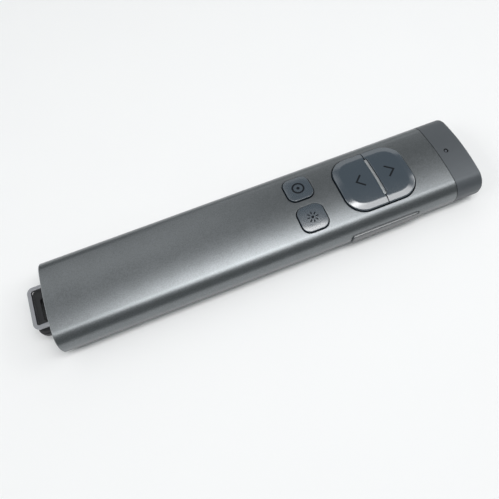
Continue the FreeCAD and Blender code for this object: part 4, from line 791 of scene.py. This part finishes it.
class CLICKER_OT_large_key(bpy.types.Operator):
    """Both halves of the large key and the bar between them"""
    bl_idname = "clicker.large_key"
    bl_label = "Large key"

    def execute(self, context):
        size, section = sizes(), Section()
        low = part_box("key_frame")[1].z + FLANGE_GAP
        cap = [side - 2 * size.key_gap for side in size.pair_size]
        shape = (pair_place(), cap, size.pair_corner - size.key_gap)
        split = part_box("previous_button")[1].x + size.split_gap / 2
        profile = key_profile(size.pair_drop, size.pair_inset, size.pair_rim, LARGE_START_SHARE)
        for name, side in (("previous", 1), ("next", -1)):
            node = name + "_button"
            focus = (split - side * FOCUS_SHARE * cap[0], 0)
            key = key_solid(name + "_half", section, shape, size.pair_rise, profile, low, focus)
            edge = split - side * size.split_gap / 2
            tools = [self.half_tool(section, size, edge, side, low - FLANGE_GAP),
                     self.bar_tool(section, size, low - FLANGE_GAP)]
            placed(cut(key, tools), name + "_key", node)
        self.bar(section)
        return {"FINISHED"}

    def half_tool(self, section, size, edge, side, low):
        """Block that takes away everything on one side of the split."""
        reach, width = size.pair_size
        shape = ((edge + side * reach / 2, 0.0), (reach, 2 * width), SQUARE_CORNER)
        return crown_cutter("half_tool", section, shape, size.pair_rise, low, size.split_round, HALF_POINTS)

    def bar_tool(self, section, size, low):
        """Slot for the divider bar."""
        shape = self.bar_shape(size.bar_gap)
        return crown_cutter("bar_tool", section, shape, size.pair_rise, low, size.split_round, SLOT_POINTS)

    def bar_shape(self, gap=0.0):
        """Shape of the bar, or of a slot with a gap round it."""
        low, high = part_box("divider_bar")
        width, span = high.x - low.x + 2 * gap, high.y - low.y + 2 * gap
        return middle("divider_bar"), (width, span), width / 2 * ROUND_END

    def bar(self, section):
        shape, low = self.bar_shape(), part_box("divider_bar")[0].z
        rings = [level(outline(shape, 0, BAR_POINTS), low)]
        for inset, drop in quarter_round(BAR_ROUND, BAR_STEPS):
            rings.append(section.over(outline(shape, -inset, BAR_POINTS), BAR_RISE, -drop))
        placed(make_mesh("divider_strip", rings), "root", "divider_bar")


class CLICKER_OT_small_keys(bpy.types.Operator):
    """Spotlight and laser keys"""
    bl_idname = "clicker.small_keys"
    bl_label = "Small keys"

    def execute(self, context):
        size, section = sizes(), Section()
        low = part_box("key_frame")[1].z + FLANGE_GAP
        side = size.small_size - 2 * size.key_gap
        profile = key_profile(size.small_drop, size.small_inset, size.small_rim, SMALL_START_SHARE)
        for name in ("spotlight", "laser"):
            mid = middle(name + "_button")
            shape = (mid, (side, side), size.small_corner - size.key_gap)
            key = key_solid(name + "_cap", section, shape, size.small_rise, profile, low, mid)
            placed(key, name + "_key", name + "_button")
        return {"FINISHED"}


def stroke(points, width, section, rise, name, closed=False):
    """Thin printed stroke along flat points, laid on a key, with mitred bends."""
    rings = []
    count = len(points)
    for index, point in enumerate(points):
        before = points[(index - 1) % count] if closed or index else point
        after = points[(index + 1) % count] if closed or index < count - 1 else point
        along = (after - before).normalized()
        leg = (after - point if after != point else point - before).normalized()
        across = Vector((-along.y, along.x)) * width / 2 / along.dot(leg)
        corners = ((-1, -INK_SINK), (1, -INK_SINK), (1, INK_HEIGHT), (-1, INK_HEIGHT))
        spots = [(point + across * side, lift) for side, lift in corners]
        rings.append([section.over([spot], rise, lift)[0] for spot, lift in spots])
    return make_mesh(name, rings, closed)


def inked(mark, key):
    """Finishes a mark that rides on a key."""
    finished(mark, key + "_key", key + "_button", "mark_ink")


def along_line(start, end, steps=6):
    return [start.lerp(end, index / steps) for index in range(steps + 1)]


def circle_points(mid, radius, steps=40):
    angles = [index / steps * 2 * math.pi for index in range(steps)]
    return [Vector(mid) + radius * Vector((math.cos(angle), math.sin(angle))) for angle in angles]


def dot(mid, radius, section, rise, name):
    """Round printed spot."""
    circle = circle_points(mid, radius)
    return make_mesh(name, [section.over(circle, rise, lift) for lift in (-INK_SINK, INK_HEIGHT)])


def taken(*pieces):
    """One bmesh from pieces, which are removed."""
    mesh = bmesh.new()
    for piece in pieces:
        mesh.from_mesh(piece.data)
        bpy.data.objects.remove(piece)
    return mesh


class Growth(NodeTree):
    """A geometry node tree with a named input for each value, ended by one mesh and its material."""

    def __init__(self, name, values):
        self.tree = bpy.data.node_groups.new(name, "GeometryNodeTree")
        for title, value in values.items():
            kind = "NodeSocketInt" if isinstance(value, int) else "NodeSocketFloat"
            self.tree.interface.new_socket(title, in_out="INPUT", socket_type=kind)
        self.tree.interface.new_socket("Geometry", in_out="OUTPUT", socket_type="NodeSocketGeometry")
        self.given = self.tree.nodes.new("NodeGroupInput").outputs

    def end(self, geometry, material):
        real = self.node("GeometryNodeRealizeInstances", {0: geometry})
        paint = self.node("GeometryNodeSetMaterial", {0: real, "Material": material})
        self.node("NodeGroupOutput", {0: paint})
        return self.tree

    def bar(self):
        """Block with the tree's length, width and height."""
        sides = zip("XYZ", ("Length", "Width", "Height"))
        size = self.node("ShaderNodeCombineXYZ", {axis: self.given[side] for axis, side in sides})
        return self.node("GeometryNodeMeshCube", {"Size": size})


def ray_tree(material):
    """Rays round a circle, each a short bar that points outwards."""
    growth = Growth("mark_rays", RAYS)
    spots = {"Vertices": growth.given["Count"], "Radius": growth.given["Radius"]}
    circle = growth.node("GeometryNodeMeshCircle", spots)
    place = growth.node("GeometryNodeInputPosition", {})
    turn = growth.node("FunctionNodeAlignRotationToVector", {"Vector": place}, {"axis": "X"})
    rays = growth.node("GeometryNodeInstanceOnPoints", {
        "Points": circle, "Instance": growth.bar(), "Rotation": turn})
    return growth.end(rays, material)


def contact_tree(material):
    """Row of flat contacts side by side, from the first one on."""
    growth = Growth("contact_row", PLUG_CONTACTS)
    step = growth.node("ShaderNodeCombineXYZ", {"Y": growth.given["Spacing"]})
    row = growth.node("GeometryNodeMeshLine", {"Count": growth.given["Count"], "Offset": step})
    contacts = growth.node("GeometryNodeInstanceOnPoints", {"Points": row, "Instance": growth.bar()})
    return growth.end(contacts, material)


def loop_tree(material, values):
    """Flat strip bent to a U: an open quadrilateral with round corners, swept with a rounded section."""
    growth = Growth("flat_loop", values)

    def rounded(width, height, radius, count, cyclic):
        width, height, radius = (growth.given[side] for side in (width, height, radius))
        curve = growth.node("GeometryNodeCurvePrimitiveQuadrilateral", {"Width": width, "Height": height})
        ends = growth.node("GeometryNodeSetSplineCyclic", {"Geometry": curve, "Cyclic": cyclic})
        corners = {"Radius": radius, "Curve": ends, "Count": count}
        return growth.node("GeometryNodeFilletCurve", corners, {"mode": "POLY"})

    sweep = growth.node("GeometryNodeCurveToMesh", {
        "Curve": rounded("Length", "Width", "Corner", LOOP_CORNER_STEPS, False),
        "Profile Curve": rounded("Strip", "Thickness", "Edge", LOOP_EDGE_STEPS, True), "Fill Caps": True})
    return growth.end(sweep, material)


def grown(name, tree, values, place):
    """Runs a tree with its inputs set, and keeps the result as a plain mesh in its place."""
    piece = new_object(name, bpy.data.meshes.new(name))
    step = piece.modifiers.new(tree.name, "NODES")
    step.node_group = tree
    for item in tree.interface.items_tree:
        if item.in_out == "INPUT" and item.name in values:
            step[item.identifier] = values[item.name]
    mesh = taken(baked(piece))
    mesh.transform(place)
    bmesh.ops.remove_doubles(mesh, verts=mesh.verts, dist=WELD)
    return mesh_object(name, mesh)


class CLICKER_OT_marks(bpy.types.Operator):
    """Arrow, ring and sun marks printed on the keys"""
    bl_idname = "clicker.marks"
    bl_label = "Marks"

    def execute(self, context):
        size, section = sizes(), Section()
        for name in ("previous", "next"):
            self.arrow(section, size, name)
        mid, rise = middle("spotlight_button"), size.small_rise
        ring = stroke(circle_points(mid, RING_RADIUS), size.ring_stroke, section, rise, "ring", True)
        spot = dot(mid, DOT_RADIUS, section, rise, "dot")
        inked(mesh_object("spotlight_mark", taken(ring, spot)), "spotlight")
        self.sun(section, rise)
        return {"FINISHED"}

    def arrow(self, section, size, name):
        start = pair_place()[0]
        tip = Vector((start + ARROW_TIPS[name], 0))
        arms = [Vector((start + ARROW_BACKS[name], side * ARROW_REACH)) for side in (-1, 1)]
        path = along_line(arms[0], tip) + along_line(tip, arms[1])[1:]
        inked(stroke(path, size.arrow_stroke, section, size.pair_rise, name + "_mark"), name)

    def sun(self, section, rise):
        mid = middle("laser_button")
        spot = dot(mid, SUN_RADIUS, section, rise, "dot")
        place = Matrix.Translation((*mid, 0))
        rays = grown("rays", ray_tree(shared_materials()["mark_ink"]), RAYS, place)
        sink = RAYS["Height"] / 2 - INK_HEIGHT
        for corner in rays.data.vertices:
            corner.co.z += section.top(corner.co.y, rise) - sink
        inked(mesh_object("laser_mark", taken(spot, rays)), "laser")


class CLICKER_OT_rocker(bpy.types.Operator):
    """Rocker key in the side wall"""
    bl_idname = "clicker.rocker"
    bl_label = "Rocker"

    def execute(self, context):
        section, size = Section(), sizes()
        mid, span = side_opening("volume_rocker", ROCKER_RIM)
        proud = -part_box("volume_rocker")[0].y - section.half
        inner = section.half - ROCKER_DEPTH
        lean = (ROCKER_SKIRT - ROCKER_ROUND) * math.tan(ROCKER_DRAFT)
        edge = [(-inset - lean, proud - drop) for inset, drop in quarter_round(ROCKER_ROUND, ROUND_STEPS)]
        steps = [(ROCKER_RIM, -ROCKER_RIM_INSET), (0, -ROCKER_RIM_INSET), (0, proud - ROCKER_SKIRT)] + edge

        def flat(grow):
            return outline((mid, span, size.rocker_corner), grow, ROCKER_POINTS)

        rings = [[Vector((p.x, -inner, p.y)) for p in flat(ROCKER_RIM)]]
        for grow, rise in steps:
            rings.append([Vector((p.x, -section.side(p.y, rise), p.y)) for p in flat(grow)])
        placed(make_mesh("rocker_key", rings), "rocker", "volume_rocker")
        return {"FINISHED"}


class CLICKER_OT_loop(bpy.types.Operator):
    """Strap loop"""
    bl_idname = "clicker.loop"
    bl_label = "Strap loop"

    def execute(self, context):
        size = sizes()
        low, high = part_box("lanyard_loop")
        strip = size.loop_strip
        values = {"Length": high.x - low.x - strip / 2, "Width": high.y - low.y - strip,
                  "Corner": size.loop_corner - strip / 2, "Strip": strip,
                  "Thickness": high.z - low.z, "Edge": size.loop_edge}
        tree = loop_tree(shared_materials()["satin_strip"], values)
        centre = (low.x + strip / 2 + values["Length"] / 2, 0, (low.z + high.z) / 2)
        placed(grown("strap_loop", tree, values, Matrix.Translation(centre)), "root", "lanyard_loop")
        return {"FINISHED"}


class CLICKER_OT_soft_edges(bpy.types.Operator):
    """Tail plug, receiver, slider and socket, with their hard edges rounded"""
    bl_idname = "clicker.soft_edges"
    bl_label = "Soft edges"

    def execute(self, context):
        for node, name, body, width in SOFT_EDGES:
            placed(self.rounded(node, name, width), body, node)
        return {"FINISHED"}

    def rounded(self, node, name, width):
        """Copy of a node's own shape, merged, with its flat faces made whole and its edges rounded."""
        source = frame["nodes"][node]
        mesh = bmesh.new()
        mesh.from_mesh(source.data)
        mesh.transform(source.matrix_world)
        bmesh.ops.remove_doubles(mesh, verts=mesh.verts, dist=WELD)
        bmesh.ops.dissolve_limit(mesh, angle_limit=math.radians(FLAT_DEGREES), verts=mesh.verts,
                                 edges=mesh.edges)
        piece = mesh_object(name, mesh)
        bevel = piece.modifiers.new("edges", "BEVEL")
        bevel.width = width
        bevel.segments = EDGE_SEGMENTS
        bevel.limit_method = "ANGLE"
        bevel.angle_limit = math.radians(EDGE_DEGREES)
        return baked(piece)


class CLICKER_OT_contacts(bpy.types.Operator):
    """Plated contacts on the tongues of the plug and of the charge socket"""
    bl_idname = "clicker.contacts"
    bl_label = "Contacts"

    def execute(self, context):
        tree = contact_tree(shared_materials()["gold_plate"])
        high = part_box("receiver_plug_tongue")[1]
        face = high.z - PLUG_CONTACTS["Height"] / 2 + CONTACT_PROUD
        row = self.row("plug_contacts", tree, PLUG_CONTACTS, (high.x - PLUG_CONTACT_BACK, 0, face), 0)
        finished(row, "receiver", "receiver_plug_tongue", "gold_plate")
        low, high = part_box("charge_port_tongue")
        reach = TONGUE_HALF - PORT_CONTACTS["Height"] / 2 + CONTACT_PROUD
        spots = [((low.x + high.x) / 2, high.y - PORT_CONTACT_BACK, (low.z + high.z) / 2 + side * reach)
                 for side in (-1, 1)]
        rows = [self.row("row", tree, PORT_CONTACTS, spot, QUARTER) for spot in spots]
        contacts = mesh_object("port_contacts", taken(*rows))
        finished(contacts, "root", "charge_port_tongue", "gold_plate")
        return {"FINISHED"}

    def row(self, name, tree, values, end, turn):
        """Row of contacts on a tongue's face, centred on where their ends lie."""
        spread = (values["Count"] - 1) * values["Spacing"] / 2
        place = Matrix.Translation(end) @ Matrix.Rotation(turn, 4, "Z")
        return grown(name, tree, values, place @ Matrix.Translation((-values["Length"] / 2, -spread, 0)))


class CLICKER_OT_inner_parts(bpy.types.Operator):
    """Finishes of the pieces that keep their own shape"""
    bl_idname = "clicker.inner_parts"
    bl_label = "Inner parts"

    def execute(self, context):
        finishes = shared_materials()
        for part in frame["record"]["subparts"]:
            piece = frame["nodes"][part["node"]]
            piece.data.materials.clear()
            piece.data.materials.append(finishes[SLOT_FINISH[part["material_slot"]]])
        return {"FINISHED"}


# Lamps: shape, place, size across and up in metres, and radiance
LAMPS = (
    ("overhead", "ELLIPSE", (0.07, -0.10, 0.60), (0.92, 0.27), 3.3),
    ("bright_strip", "ELLIPSE", (0.045, -0.01, 0.60), (0.42, 0.10), 5.0),
    ("far_panel", "RECTANGLE", (-0.35, 0.48, 0.60), (1.0, 0.34), 0.7),
    ("far_low_panel", "RECTANGLE", (0.55, 1.0, 0.50), (1.6, 0.50), 0.6),
    ("tail_panel", "RECTANGLE", (-0.95, 0.0, 0.70), (0.4, 0.6), 3.0),
    ("head_panel", "RECTANGLE", (1.05, 0.0, 0.70), (0.4, 0.6), 3.0),
)

# Camera of the photograph, found from the outlines of the body: degrees, then metres, then pixels
CAMERA_TURN, CAMERA_CLIMB, CAMERA_ROLL = -16.07, 65.44, -6.08
CAMERA_TARGET = Vector((-8.1, -5.71, 6.0)) * MM
CAMERA_DISTANCE = 155.0 * MM
FOCAL_PIXELS, FRAME_PIXELS = 458.29, 499
SENSOR = 36.0


class CLICKER_OT_stage(bpy.types.Operator):
    """Floor, lights, world and camera"""
    bl_idname = "clicker.stage"
    bl_label = "Stage"

    def execute(self, context):
        scene = context.scene
        scene.view_settings.view_transform = "Standard"
        self.floor()
        self.world(scene)
        for lamp in LAMPS:
            self.lamp(*lamp)
        self.camera(scene)
        return {"FINISHED"}

    def floor(self):
        corners = [Vector((x, y, 0)) * FLOOR_REACH for x, y in ((-1, -1), (1, -1), (1, 1), (-1, 1))]
        data = bpy.data.meshes.new("floor")
        data.from_pydata(corners, [], [(0, 1, 2, 3)])
        finish = Finish("floor_paint", {"Roughness": FLOOR_ROUGH, "Specular IOR Level": FLOOR_SPECULAR})
        base = tuple(colours().floor)
        finish.feed("Base Color", finish.mix(finish.noise(FLOOR_CLOUD), shade(base, FLOOR_TONE), base))
        data.materials.append(finish.material)
        new_object("floor", data)

    def world(self, scene):
        world = bpy.data.worlds.new("studio")
        world.use_nodes = True
        background = world.node_tree.nodes["Background"]
        background.inputs["Color"].default_value = (*colours().world, 1)
        background.inputs["Strength"].default_value = 1.0
        scene.world = world

    def lamp(self, name, shape, place, size, radiance):
        """Area lamp that faces the object, its long side along the body."""
        light = bpy.data.lights.new(name, "AREA")
        light.shape = shape
        light.size, light.size_y = size
        area = size[0] * size[1] * (math.pi / 4 if shape == "ELLIPSE" else 1)
        light.energy = radiance * math.pi * area
        back = Vector(place).normalized()
        right = (EAST - back * EAST.dot(back)).normalized()
        axes = Matrix((right, back.cross(right), back)).transposed().to_4x4()
        new_object(name, light).matrix_world = Matrix.Translation(place) @ axes

    def camera(self, scene):
        """Camera at the photograph's turn, height, roll and distance."""
        turn, climb, roll = (math.radians(angle) for angle in (CAMERA_TURN, CAMERA_CLIMB, CAMERA_ROLL))
        place = Matrix.Translation(CAMERA_TARGET)
        for angle, axis in ((turn, "Z"), (QUARTER - climb, "X"), (roll, "Z")):
            place = place @ Matrix.Rotation(angle, 4, axis)
        lens = bpy.data.cameras.new("camera")
        lens.sensor_width = SENSOR
        lens.sensor_fit = "HORIZONTAL"
        lens.lens = SENSOR * FOCAL_PIXELS / FRAME_PIXELS
        lens.clip_start = 1 * MM
        scene.camera = new_object("camera", lens)
        scene.camera.matrix_world = place @ Matrix.Translation((0, 0, CAMERA_DISTANCE))


class CLICKER_PT_panel(bpy.types.Panel):
    """Steps and sizes of the clicker"""
    bl_idname = "CLICKER_PT_panel"
    bl_label = "Presentation clicker"
    bl_space_type = "VIEW_3D"
    bl_region_type = "UI"
    bl_category = "Clicker"

    def draw(self, context):
        for step in STEPS:
            self.layout.operator(step.bl_idname)
        for group in (context.scene.clicker_sizes, context.scene.clicker_colours):
            for name in group.__annotations__:
                self.layout.prop(group, name)


STEPS = (CLICKER_OT_stage, CLICKER_OT_inner_parts, CLICKER_OT_sleeve, CLICKER_OT_cap, CLICKER_OT_large_key,
         CLICKER_OT_small_keys, CLICKER_OT_marks, CLICKER_OT_rocker, CLICKER_OT_loop, CLICKER_OT_soft_edges,
         CLICKER_OT_contacts)
CLASSES = (ClickerSizes, ClickerColours, *STEPS, CLICKER_PT_panel)


def register():
    for cls in CLASSES:
        bpy.utils.register_class(cls)
    bpy.types.Scene.clicker_sizes = PointerProperty(type=ClickerSizes)
    bpy.types.Scene.clicker_colours = PointerProperty(type=ClickerColours)


def unregister():
    del bpy.types.Scene.clicker_sizes
    del bpy.types.Scene.clicker_colours
    for cls in reversed(CLASSES):
        bpy.utils.unregister_class(cls)


def main():
    register()
    bpy.ops.clicker.stage()
    bpy.ops.clicker.inner_parts()
    bpy.ops.clicker.sleeve()
    bpy.ops.clicker.cap()
    bpy.ops.clicker.large_key()
    bpy.ops.clicker.small_keys()
    bpy.ops.clicker.marks()
    bpy.ops.clicker.rocker()
    bpy.ops.clicker.loop()
    bpy.ops.clicker.soft_edges()
    bpy.ops.clicker.contacts()


if __name__ == "__main__":
    main()
